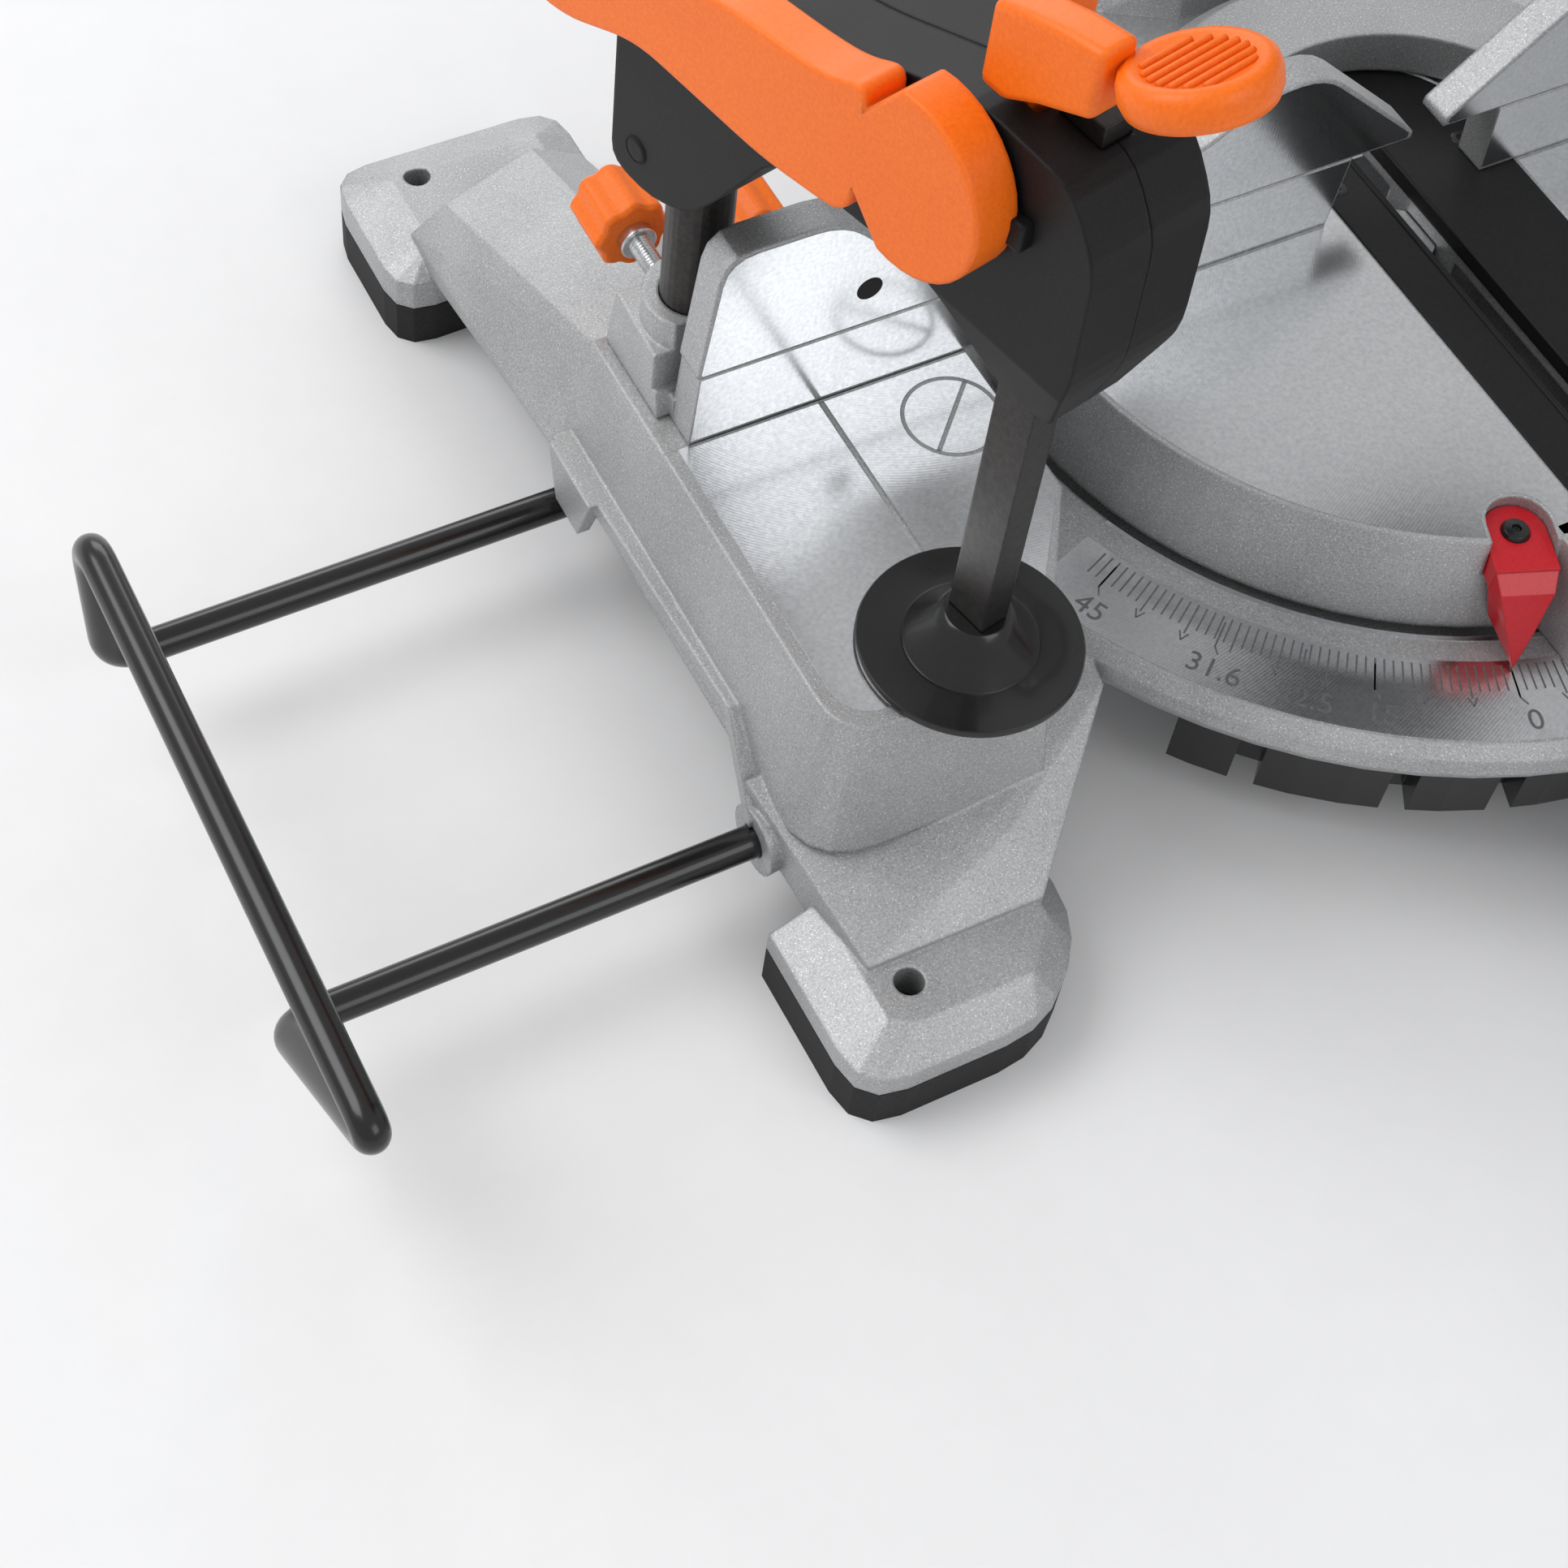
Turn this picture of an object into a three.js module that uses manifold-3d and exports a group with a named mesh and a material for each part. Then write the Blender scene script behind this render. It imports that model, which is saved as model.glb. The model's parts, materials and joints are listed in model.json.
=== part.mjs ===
// Sliding compound mitre saw with side extension wires and a quick-action clamp.
// Units are millimetres, +X points right along the fence, +Y to the back, +Z up, and the rubber
// feet stand on z = 0. The outer group shifts the saw so that its box is centred on the origin.
import * as THREE from 'three';
import Module from 'manifold-3d';
import { mergeVertices } from 'three/addons/utils/BufferGeometryUtils.js';
import { ConvexGeometry } from 'three/addons/geometries/ConvexGeometry.js';

const wasm = await Module();
wasm.setup();

// ---------------------------------------------------------------- driving dimensions
const GAP = 0.3; // clearance between pieces that touch
const TABLE_Z = 96; // working surface
const SCALE_Z = 63; // top of the mitre scale ring
const TABLE_HALF = 254; // outer edge of each fixed table
const TABLE_INNER = 156; // inner edge of each fixed table
const TABLE_FRONT = -103;
const TABLE_BACK = 50;
const SKIRT_Z = 46; // lower edge of the table walls
const WALL = 6; // casting thickness
const TURN_R = 131; // turntable radius at the working surface
const TURN_BASE_R = 136.5; // turntable radius above the scale ring
const RING_IN = 139.5;
const RING_OUT = 177;
const RIM_OUT = 182;
const FOOT_H = 16; // rubber pad thickness
const FENCE_Y = 3.75; // working face of the fence
const FENCE_SPLIT_Z = 123; // joint between fixed and sliding fence
const FENCE_TOP_Z = 168;
const INSERT_X = 9.9; // middle of the kerf insert, which is wider on the motor side
const INSERT_HALF = 32.4;
const INSERT_BACK_Y = 26.5; // centre of the insert's round rear end
const INSERT_Z = 90; // floor of the insert's bed
const BRIDGE_IN = 58.5; // the fence's rear bridge runs round the middle of the turntable
const BRIDGE_OUT = 92;
const WIRE_R = 5;
const WIRE_REACH = 409; // crossbar centre line from the middle of the saw
const WIRE_Z = 33;
const WIRE_BACK_Y = 45;
const WIRE_FRONT_Y = -87.5;
const CROSSBAR_FRONT_Y = -157.5;
const POST = [-233.5, 30]; // clamp post centre
const POST_R = 9.5;
const BAR = [-207.5, -89]; // clamp bar centre
const PAD_R = 31.5;
const BLADE_R = 127;
const BLADE_Y = -18; // blade centre with the head down and slid back
const BLADE_Z = 215;
const PIVOT_Y = 235; // chop pivot
const PIVOT_Z = 310;
const CHOP = 52; // degrees from rest (raised) to fully down
const RAIL_X = 34;
const RAIL_Z = 262;
const RAIL_R = 12.5;
const RAIL_FRONT = 206;
const SLIDE_TRAVEL = 190;
const BEARING_FRONT = 268;
const BEARING_BACK = 338;
const REAR_REACH = BEARING_BACK + SLIDE_TRAVEL + 22; // back face of the rail end plate
const ARM_END = -275; // front face of the mitre arm
const FRONT_REACH = 331; // front of the mitre lock knob
const POINTER_SEAT = 124; // radius of the pointer's screw
const POINTER_HALF = 9.5;
const POINTER_DEG = 20.15; // pointer sits this far left of the arm
const rad = THREE.MathUtils.degToRad;

// ---------------------------------------------------------------- finishes
const finish = (color, roughness, metalness) => new THREE.MeshStandardMaterial({
  color, roughness, metalness,
});
const castAluminium = finish(0xb9bbbc, 0.55, 0.9);
const blackPlastic = finish(0x17181a, 0.5, 0.0);
const orangePlastic = finish(0xf26a12, 0.42, 0.0);
const redPlastic = finish(0xc01522, 0.35, 0.0);
const blackSteel = finish(0x0c0c0d, 0.3, 0.6);
const rubber = finish(0x2b2b2c, 0.85, 0.0);
const zincSteel = finish(0xb4b6b8, 0.3, 1.0);
const bladeSteel = finish(0xc4c6c8, 0.3, 1.0);
const smokedPlastic = finish(0x3a3c3f, 0.2, 0.0);
const copper = finish(0xa85c32, 0.45, 0.8);

// ---------------------------------------------------------------- solids
// Turns any closed three.js geometry into a manifold solid.
function solid(geometry) {
  const bare = geometry.index ? geometry.toNonIndexed() : geometry.clone();
  for (const key of Object.keys(bare.attributes)) {
    if (key !== 'position') bare.deleteAttribute(key);
  }
  const merged = mergeVertices(bare, 1e-4);
  const index = merged.index.array;
  const triVerts = [];
  for (let i = 0; i < index.length; i += 3) {
    const [a, b, c] = [index[i], index[i + 1], index[i + 2]];
    if (a !== b && b !== c && c !== a) triVerts.push(a, b, c);
  }
  return new wasm.Manifold(new wasm.Mesh({
    numProp: 3,
    vertProperties: Float32Array.from(merged.attributes.position.array),
    triVerts: Uint32Array.from(triVerts),
  }));
}

// Turns a manifold solid back into a three.js geometry.
function geometryOf(body) {
  const mesh = body.getMesh();
  const geometry = new THREE.BufferGeometry();
  geometry.setAttribute('position', new THREE.BufferAttribute(Float32Array.from(mesh.vertProperties), 3));
  geometry.setIndex(Array.from(mesh.triVerts));
  const flat = geometry.toNonIndexed();
  flat.computeVertexNormals();
  return flat;
}

const join = (...geometries) => geometryOf(
  geometries.map(solid).reduce((sum, next) => sum.add(next)),
);
const cut = (first, ...rest) => geometryOf(
  rest.map(solid).reduce((sum, next) => sum.subtract(next), solid(first)),
);
const common = (first, second) => geometryOf(solid(first).intersect(solid(second)));

const box = (x0, x1, y0, y1, z0, z1) => new THREE.BoxGeometry(x1 - x0, y1 - y0, z1 - z0)
  .translate((x0 + x1) / 2, (y0 + y1) / 2, (z0 + z1) / 2);
const hull = (points) => new ConvexGeometry(points.map(([x, y, z]) => new THREE.Vector3(x, y, z)));

// Mirrors a closed geometry in the YZ plane and keeps its faces pointing out.
function mirrorX(geometry) {
  const flat = geometry.index ? geometry.toNonIndexed() : geometry.clone();
  flat.scale(-1, 1, 1);
  const position = flat.attributes.position;
  for (let i = 0; i < position.count; i += 3) {
    const [x, y, z] = [position.getX(i), position.getY(i), position.getZ(i)];
    position.setXYZ(i, position.getX(i + 1), position.getY(i + 1), position.getZ(i + 1));
    position.setXYZ(i + 1, x, y, z);
  }
  flat.deleteAttribute('normal');
  return flat;
}

// A cylinder along one axis, centred on (a, b) of the other two, from low to high along it.
function rod(axis, a, b, low, high, radius, segments = 24, endRadius = radius) {
  const bar = new THREE.CylinderGeometry(endRadius, radius, high - low, segments);
  bar.translate(0, (high + low) / 2, 0);
  if (axis === 'y') return bar.translate(a, 0, b);
  if (axis === 'z') return bar.rotateX(Math.PI / 2).translate(a, b, 0);
  return bar.rotateZ(-Math.PI / 2).translate(0, a, b);
}

// A slab between two heights with the given XY outline.
function slab(outline, low, high, segments = 6) {
  const shape = new THREE.Shape(outline.map(([x, y]) => new THREE.Vector2(x, y)));
  const options = { depth: high - low, bevelEnabled: false, curveSegments: segments };
  return new THREE.ExtrudeGeometry(shape, options).translate(0, 0, low);
}

// A plate that stands in the XZ plane, given as [x, z] points, between two Y values.
const uprightXZ = (outline, low, high, segments) => slab(outline, -high, -low, segments).rotateX(Math.PI / 2);
// A plate that stands in the YZ plane, given as [y, z] points, between two X values.
const uprightYZ = (outline, low, high, segments) => slab(outline, low, high, segments)
  .applyMatrix4(new THREE.Matrix4().set(0, 0, 1, 0, 1, 0, 0, 0, 0, 1, 0, 0, 0, 0, 0, 1));

// Rounds the corners of a polygon of [a, b] or [a, b, reach] points, where reach is how far along
// each side the rounding runs.
function softened(points, reach, steps = 3) {
  const outline = [];
  points.forEach(([a, b, own = reach], i) => {
    const here = new THREE.Vector2(a, b);
    if (!own) {
      outline.push([a, b]);
      return;
    }
    const [before, after] = [points.at(i - 1), points[(i + 1) % points.length]].map(
      ([x, y]) => new THREE.Vector2(x, y).sub(here),
    );
    const run = Math.min(own, before.length() * 0.48, after.length() * 0.48);
    const bend = new THREE.QuadraticBezierCurve(
      before.setLength(run).add(here), here, after.setLength(run).add(here),
    );
    bend.getPoints(steps).forEach(({ x, y }) => outline.push([x, y]));
  });
  return outline;
}

// The same XY outline at one height, as points in space.
const atHeight = (outline, z) => outline.map(([x, y]) => [x, y, z]);

// A turned piece about Z from [radius, z] points that start and end on the axis or close on themselves.
const turned = (profile, segments = 48, start = 0, sweep = 2 * Math.PI) => new THREE.LatheGeometry(
  profile.map(([r, z]) => new THREE.Vector2(r, z)), segments, start, sweep,
).rotateX(Math.PI / 2).rotateZ(Math.PI / 2);

// A ring about Z with a rectangular section.
const ring = (inner, outer, low, high, segments = 48) => turned(
  [[inner, low], [outer, low], [outer, high], [inner, high], [inner, low]], segments,
);

// A lobed hand knob about Z, its grip between low and high.
function lobedKnob(radius, low, high, lobes = 8, depth = 1.4) {
  const outline = [];
  const count = lobes * 4;
  for (let i = 0; i < count; i += 1) {
    const angle = (2 * Math.PI * i) / count;
    const r = radius - depth * (1 - Math.cos(lobes * angle)) * 0.5;
    outline.push([r * Math.cos(angle), r * Math.sin(angle)]);
  }
  return slab(outline, low, high);
}

// ---------------------------------------------------------------- fixed base
const FRONT_PAD = softened([
  [-274, -112, 0], [-274, -168], [-213, -168], [-192, -146], [-192, -112, 0],
], 15);
const REAR_PAD = softened([
  [-274, 148], [-204, 150], [-192, 166], [-192, 206], [-274, 206],
], 13);

// The left half of the base casting: table, front deck and foot, rear leg and foot.
function leftHalfBase() {
  const tableTop = softened([
    [-TABLE_HALF, TABLE_FRONT], [-TABLE_HALF, TABLE_BACK, 0], [-TABLE_INNER, TABLE_BACK, 0],
    [-TABLE_INNER, -52, 0], [-190, TABLE_FRONT, 0],
  ], 15, 5);
  const tableFoot = softened([
    [-TABLE_HALF - 8, TABLE_FRONT - 7], [-TABLE_HALF - 8, TABLE_BACK + 5, 0],
    [-TABLE_INNER, TABLE_BACK + 5, 0],
    [-TABLE_INNER, -60, 0], [-187, TABLE_FRONT - 7, 0],
  ], 22, 5);
  const table = hull([...atHeight(tableTop, TABLE_Z), ...atHeight(tableFoot, SKIRT_Z)]);
  const lip = hull([
    [-266, 50, 60], [-250, 50, 60], [-266, 50, 54], [-250, 50, 54],
    [-263, -60, 60], [-250, -60, 60], [-263, -60, 54], [-250, -60, 54],
  ]);
  const lipEnd = hull([
    [-263, -60, 60], [-250, -60, 60], [-263, -60, 52], [-250, -60, 52],
    [-268, -86, 41], [-250, -86, 41], [-268, -86, 33], [-250, -86, 33],
  ]);
  const hook = hull([
    [-268, 20, 60], [-263, 20, 60], [-268, 48, 60], [-263, 48, 60],
    [-268, 27, 40], [-264, 27, 40], [-268, 42, 40], [-264, 42, 40],
  ]);
  const deck = hull([
    [-266, -78, 50], [-158, -78, 60], [-160, -95, 57], [-203, -120, 44], [-201, -138, 33], [-257, -137.5, 33],
    [-266, -78, 34], [-158, -78, 50], [-160, -95, 47], [-201, -138, FOOT_H + GAP], [-257, -138, FOOT_H + GAP],
  ]);
  const frontFoot = hull([
    ...atHeight(FRONT_PAD, FOOT_H + GAP), ...atHeight(FRONT_PAD, 24),
    [-259, -153, 31], [-252, -157, 31], [-215, -157, 31], [-202, -143, 31], [-202, -112, 31],
    [-259, -112, 31],
  ]);
  const leg = hull([
    [-246, 46, 84], [-215, 46, 84], [-262, 46, 46], [-168, 46, 46], [-182, 46, 60],
    [-262, 165, 34], [-252, 160, 48], [-216, 172, 48], [-196, 176, 34], [-196, 176, 26], [-262, 165, 26],
  ]);
  const rearFoot = hull([
    ...atHeight(REAR_PAD, FOOT_H + GAP), ...atHeight(REAR_PAD, 27),
    [-258, 160, 34], [-206, 164, 34], [-206, 190, 34], [-258, 190, 34],
  ]);
  const rodBoss = rod('x', WIRE_FRONT_Y, WIRE_Z, -267, -250, 11, 24, 9);
  const body = join(table, lip, lipEnd, hook, deck, rodBoss, frontFoot, leg, rearFoot);
  const underTable = hull([
    [-TABLE_HALF + 8, TABLE_FRONT + 8, TABLE_Z - 8], [-TABLE_HALF + 8, TABLE_BACK - 8, TABLE_Z - 8],
    [-TABLE_INNER - WALL, TABLE_BACK - 8, TABLE_Z - 8], [-TABLE_INNER - WALL, -48, TABLE_Z - 8],
    [-194, TABLE_FRONT + 8, TABLE_Z - 8],
    [-TABLE_HALF - 1, TABLE_FRONT, 0], [-TABLE_HALF - 1, TABLE_BACK - 6, 0],
    [-TABLE_INNER - WALL, TABLE_BACK - 6, 0], [-TABLE_INNER - WALL, -52, 0], [-194, TABLE_FRONT, 0],
  ]);
  const underLeg = hull([
    [-240, 56, 74], [-218, 56, 74], [-252, 56, 0], [-190, 56, 0], [-246, 140, 34], [-220, 140, 34],
    [-250, 140, 0], [-206, 140, 0],
  ]);
  const holes = [
    rod('x', WIRE_BACK_Y, WIRE_Z, -300, -250, WIRE_R + GAP, 16),
    rod('x', WIRE_FRONT_Y, WIRE_Z, -300, -140, WIRE_R + GAP, 16),
    rod('z', -248, -145, 0, 60, 4.5, 16),
    rod('z', -250, 188, 0, 60, 4.5, 16),
  ];
  const fenceSeat = box(-280, -TABLE_INNER - 1, FENCE_Y - GAP, 100, TABLE_Z - GAP, TABLE_Z + 10);
  return cut(body, underTable, underLeg, fenceSeat, ...holes);
}

function baseCasting() {
  const left = leftHalfBase();
  const plate = join(
    turned([
      [0, 50], [RING_OUT - 2, 50], [RIM_OUT - 2, 50], [RIM_OUT, 54], [RIM_OUT - 1, 59], [RING_OUT, SCALE_Z],
      [RING_IN, SCALE_Z], [RING_IN, 56], [0, 56],
    ], 72),
  );
  const frontHalf = box(-RIM_OUT - 1, RIM_OUT + 1, -RIM_OUT - 1, 20, 40, 70);
  const bridge = box(-170, 170, -40, 54, 46, 56);
  const keep = join(common(plate, frontHalf), bridge);
  const skirt = common(ring(148, 154, 40, 52, 72), box(-160, 160, -160, 0, 30, 60));
  const bore = rod('z', 0, 0, 30, 70, 12 + GAP);
  return cut(join(left, mirrorX(left), keep, skirt), bore);
}

// The steel detent ring below the front of the scale, with a notch for each stop.
function detentRing() {
  const blank = common(ring(158, 172, 20, 49.7, 72), hull([
    [0, 0, 10], [-230, -176.6, 10], [-60, -260, 10], [60, -260, 10], [230, -176.6, 10],
    [0, 0, 60], [-230, -176.6, 60], [-60, -260, 60], [60, -260, 60], [230, -176.6, 60],
  ]));
  const stops = [-44.8, -29.7, -19, -9.5, 0, 9.5, 19, 29.7, 44.8];
  const notches = stops.map((stop) => box(-4, 4, -180, -163, 10, 60).rotateZ(rad(stop)));
  return cut(blank, ...notches);
}

// Left half of the fixed fence: working strip, channel for the sliding fence and clamp socket.
function leftHalfFence() {
  const low = TABLE_Z + GAP;
  const strip = hull([
    [-246, FENCE_Y, low], [-29, FENCE_Y, low], [-29, 15, low], [-246, 15, low],
    [-244, FENCE_Y, FENCE_SPLIT_Z], [-27, FENCE_Y, FENCE_SPLIT_Z], [-27, 15, FENCE_SPLIT_Z],
    [-244, 15, FENCE_SPLIT_Z],
  ]);
  const flange = box(-246, -58, 14, 34, low, 104);
  const backPlate = box(-222, -60, 20, 27, 100, 136);
  const socket = join(
    hull([
      [-250, 16, low], [-250, 49, low], [-217, 49, low], [-217, 16, low],
      [-250, 20, 118], [-249, 46, 118], [-218, 46, 118], [-217, 20, 118],
    ]),
    rod('z', ...POST, 110, 128, 14.5),
  );
  const channel = box(-260, -20, 15, 20, 105, 160);
  const bore = rod('z', ...POST, 99, 140, POST_R + GAP);
  const postScrewHole = rod('y', POST[0], 115, 30, 60, 4, 16);
  const fenceScrewHole = rod('y', -203, 120, 18, 60, 4, 16);
  return cut(join(strip, flange, socket, backPlate), channel, bore, postScrewHole, fenceScrewHole);
}

// The two halves are one casting, joined by a low bridge behind the blade.
function fenceCasting() {
  const left = leftHalfFence();
  const bridge = common(
    turned([[BRIDGE_IN, TABLE_Z + 1], [BRIDGE_OUT, TABLE_Z + 1], [BRIDGE_OUT, 106], [BRIDGE_OUT - 6, 112],
      [BRIDGE_IN, 112], [BRIDGE_IN, TABLE_Z + 1]], 72),
    box(-200, 200, 20.5, 200, 90, 120),
  );
  return join(left, mirrorX(left), bridge);
}

// Sliding upper fence: a shaped plate with a tail that runs in the fixed fence's channel.
function upperFence() {
  const face = uprightXZ([
    ...softened([
      [-245, FENCE_SPLIT_Z + GAP, 0], [-6, FENCE_SPLIT_Z + GAP, 0], [-6, 126, 1], [-47, 163], [-66, 163],
      [-89, 147], [-186, 150], [-203, FENCE_TOP_Z], [-240, FENCE_TOP_Z],
    ], 9),
  ], FENCE_Y, 14.7);
  const heel = box(-215, -70, 10, 16, FENCE_SPLIT_Z + GAP, 146);
  const tail = box(-215, -70, 15 + GAP, 19.6, 106, 146);
  const hole = rod('y', -193, 137.6, 0, 40, 4);
  return cut(join(face, heel, tail), hole);
}

// Hand screw about Y with its knob behind and its tip at y = tip.
function handScrew(x, z, tip, neck, end, radius) {
  const knob = lobedKnob(radius, neck, end);
  const hub = rod('z', 0, 0, neck - 4, neck + 1, 6, 16);
  const shank = rod('z', 0, 0, tip, neck, 3.4, 12);
  return join(knob, hub, shank).rotateX(-Math.PI / 2).translate(x, 0, z);
}

// A wire bow: two rods along X, an upright rear leg, a raked front leg and a crossbar.
function extensionWire() {
  const bend = 11;
  const crossZ = TABLE_Z - WIRE_R;
  const corner = [
    new THREE.Vector3(-168, WIRE_BACK_Y, WIRE_Z), new THREE.Vector3(-WIRE_REACH, WIRE_BACK_Y, WIRE_Z),
    new THREE.Vector3(-WIRE_REACH, WIRE_BACK_Y, crossZ),
    new THREE.Vector3(-WIRE_REACH, CROSSBAR_FRONT_Y, crossZ),
    new THREE.Vector3(-WIRE_REACH, WIRE_FRONT_Y, WIRE_Z), new THREE.Vector3(-168, WIRE_FRONT_Y, WIRE_Z),
  ];
  const path = new THREE.CurvePath();
  let from = corner[0];
  for (let i = 1; i < corner.length - 1; i += 1) {
    const inward = corner[i - 1].clone().sub(corner[i]).normalize();
    const outward = corner[i + 1].clone().sub(corner[i]).normalize();
    const enter = corner[i].clone().addScaledVector(inward, bend);
    const leave = corner[i].clone().addScaledVector(outward, bend);
    path.add(new THREE.LineCurve3(from, enter));
    path.add(new THREE.QuadraticBezierCurve3(enter, corner[i], leave));
    from = leave;
  }
  path.add(new THREE.LineCurve3(from, corner[corner.length - 1]));
  return sweep(path, WIRE_R, 12);
}

// Sweeps a round section along a path of straight and curved pieces with parallel frames.
function sweep(path, radius, sides) {
  const points = [];
  for (const piece of path.curves) {
    const steps = piece.isLineCurve3 ? 1 : 4;
    for (const point of piece.getPoints(steps)) {
      if (!points.length || points[points.length - 1].distanceTo(point) > 1e-3) points.push(point);
    }
  }
  const positions = [];
  const rings = [];
  let normal = new THREE.Vector3(0, 0.3, 1).normalize();
  for (let i = 0; i < points.length; i += 1) {
    const before = points[Math.max(i - 1, 0)];
    const after = points[Math.min(i + 1, points.length - 1)];
    const tangent = after.clone().sub(before).normalize();
    normal = normal.clone().addScaledVector(tangent, -normal.dot(tangent)).normalize();
    const side = new THREE.Vector3().crossVectors(tangent, normal);
    const loop = [];
    for (let k = 0; k < sides; k += 1) {
      const angle = (2 * Math.PI * (k + 0.5)) / sides;
      loop.push(points[i].clone()
        .addScaledVector(normal, radius * Math.cos(angle)).addScaledVector(side, radius * Math.sin(angle)));
    }
    rings.push(loop);
  }
  const face = (a, b, c) => positions.push(...a, ...b, ...c);
  for (let i = 0; i + 1 < rings.length; i += 1) {
    for (let k = 0; k < sides; k += 1) {
      const n = (k + 1) % sides;
      face(rings[i][k], rings[i][n], rings[i + 1][k]);
      face(rings[i][n], rings[i + 1][n], rings[i + 1][k]);
    }
  }
  for (let k = 1; k + 1 < sides; k += 1) {
    face(rings[0][0], rings[0][k + 1], rings[0][k]);
    const last = rings[rings.length - 1];
    face(last[0], last[k], last[k + 1]);
  }
  const geometry = new THREE.BufferGeometry();
  geometry.setAttribute('position', new THREE.Float32BufferAttribute(positions, 3));
  return geometry;
}

// ---------------------------------------------------------------- quick clamp
// The clamp is drawn in its own frame: s runs along the arm from the post to the bar, w to the
// right of it and z up. The group that holds it turns s onto the real direction.
const ARM_LENGTH = Math.hypot(BAR[0] - POST[0], BAR[1] - POST[1]);
const ARM_ANGLE = Math.atan2(BAR[1] - POST[1], BAR[0] - POST[0]);
const HOUSING_HALF = 18;
const BAR_LONG = 13;
const BAR_THICK = 9;
const BAR_TOP = 292;
const PAD_TOP = 112;
const LEVER_PIVOT = [98, 267];
const LEVER_PIN_END = -29;
const TAB_PIVOT = [106, 282];

// One half of the housing, from the split line out to one side.
function clampHousing(side) {
  const low = side < 0 ? -HOUSING_HALF : GAP / 2;
  const high = side < 0 ? -GAP / 2 : HOUSING_HALF;
  const outline = softened([
    [-17, 176, 6], [-2, 174], [14, 180], [24, 192], [42, 220], [52, 226], [100, 230], [118, 203],
    [136, 205, 6],
    [146, 232], [145, 270], [134, 286], [104, 288], [60, 272], [20, 262], [6, 262], [-17, 252],
  ], 7);
  const shell = cut(uprightXZ(outline, low, high), ...[-1, 1].map((way) => uprightYZ([
    [way * (HOUSING_HALF + 0.5), 229], [way * 7, 202], [way * 7, 190], [way * 25, 190], [way * 25, 229],
  ], 90, 150)));
  const postBore = rod('z', 0, 0, 170, 250, POST_R + GAP);
  const barSlot = box(ARM_LENGTH - BAR_LONG / 2 - GAP, ARM_LENGTH + BAR_LONG / 2 + GAP, -BAR_THICK / 2 - GAP,
    BAR_THICK / 2 + GAP, 150, 340);
  const gripCavity = box(106, 138, -10, 10, 234, 250);
  const tabWell = box(99.5, 113.5, -9.5, 9.5, 272, 300);
  return cut(shell, postBore, barSlot, gripCavity, tabWell);
}

// The squeeze lever: a round boss with a blind bore for its pin, and a tapering grip that runs back
// past the post.
function clampLever() {
  const [s, z] = LEVER_PIVOT;
  const grip = uprightXZ([
    [s, z - 24], [54, 239], [6, 239], [-24, 227], [-40, 226], [-46, 232], [-30, 242], [8, 262],
    [34, 273], [70, 277],
    [s - 4, z + 24],
  ], -32, -19);
  return cut(join(grip, rod('y', s, z, -32, -19, 24.5, 32)), rod('y', s, z, LEVER_PIN_END - GAP, 0, 4 + GAP, 16));
}

// The release tab: a stem in the housing's well, a neck beside the bar and a tilted thumb pad.
function releaseTab() {
  const [s, z] = TAB_PIVOT;
  const stem = box(103, 110, -8.5, 8.5, 275, 292);
  const neck = hull([
    [101, -17, 291], [101, 8.5, 291], [110, 8.5, 291], [110, -17, 291],
    [101, -17, 314], [101, 8.5, 314], [110, 8.5, 317], [110, -17, 317],
  ]);
  const side = hull([
    [108, -17, 292], [108, -6, 292], [134, -6, 303], [134, -17, 303],
    [108, -17, 318], [108, -6, 318], [134, -6, 324], [134, -17, 324],
  ]);
  const pad = rod('z', 0, 0, -5.5, 5.5, 17, 28).rotateY(-rad(24)).translate(147, -3, 319);
  const barRoom = box(ARM_LENGTH - 14.3, ARM_LENGTH + 8, -5.5, 30, 294, 360);
  return cut(join(stem, neck, side, pad), barRoom, rod('y', s, z, -20, 20, 1.6, 12));
}

const clampParts = {
  post: () => rod('z', 0, 0, 100, 249, POST_R, 28),
  bar: () => box(
    ARM_LENGTH - BAR_LONG / 2, ARM_LENGTH + BAR_LONG / 2, -BAR_THICK / 2, BAR_THICK / 2, PAD_TOP, BAR_TOP,
  ),
  pad: () => turned([
    [0, TABLE_Z + GAP], [PAD_R, TABLE_Z + GAP], [PAD_R, 98.6], [18, 98.8], [9.5, PAD_TOP - GAP],
    [0, PAD_TOP - GAP],
  ], 48).translate(ARM_LENGTH, 0, 0),
  pin: () => rod('y', ...LEVER_PIVOT, LEVER_PIN_END, -HOUSING_HALF - GAP, 4, 16),
  gripPlate: () => cut(
    box(108, 136, -9, 9, 240, 244),
    box(ARM_LENGTH - BAR_LONG / 2 - GAP, ARM_LENGTH + BAR_LONG / 2 + GAP, -BAR_THICK / 2 - GAP,
      BAR_THICK / 2 + GAP, 230, 250),
  ),
};

// ---------------------------------------------------------------- turntable
const INSERT_FRONT = -258;
const KERF_RIGHT = 6.5;
const TRUNNION_FRONT = 142;
const TRUNNION_BACK = 172;

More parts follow.
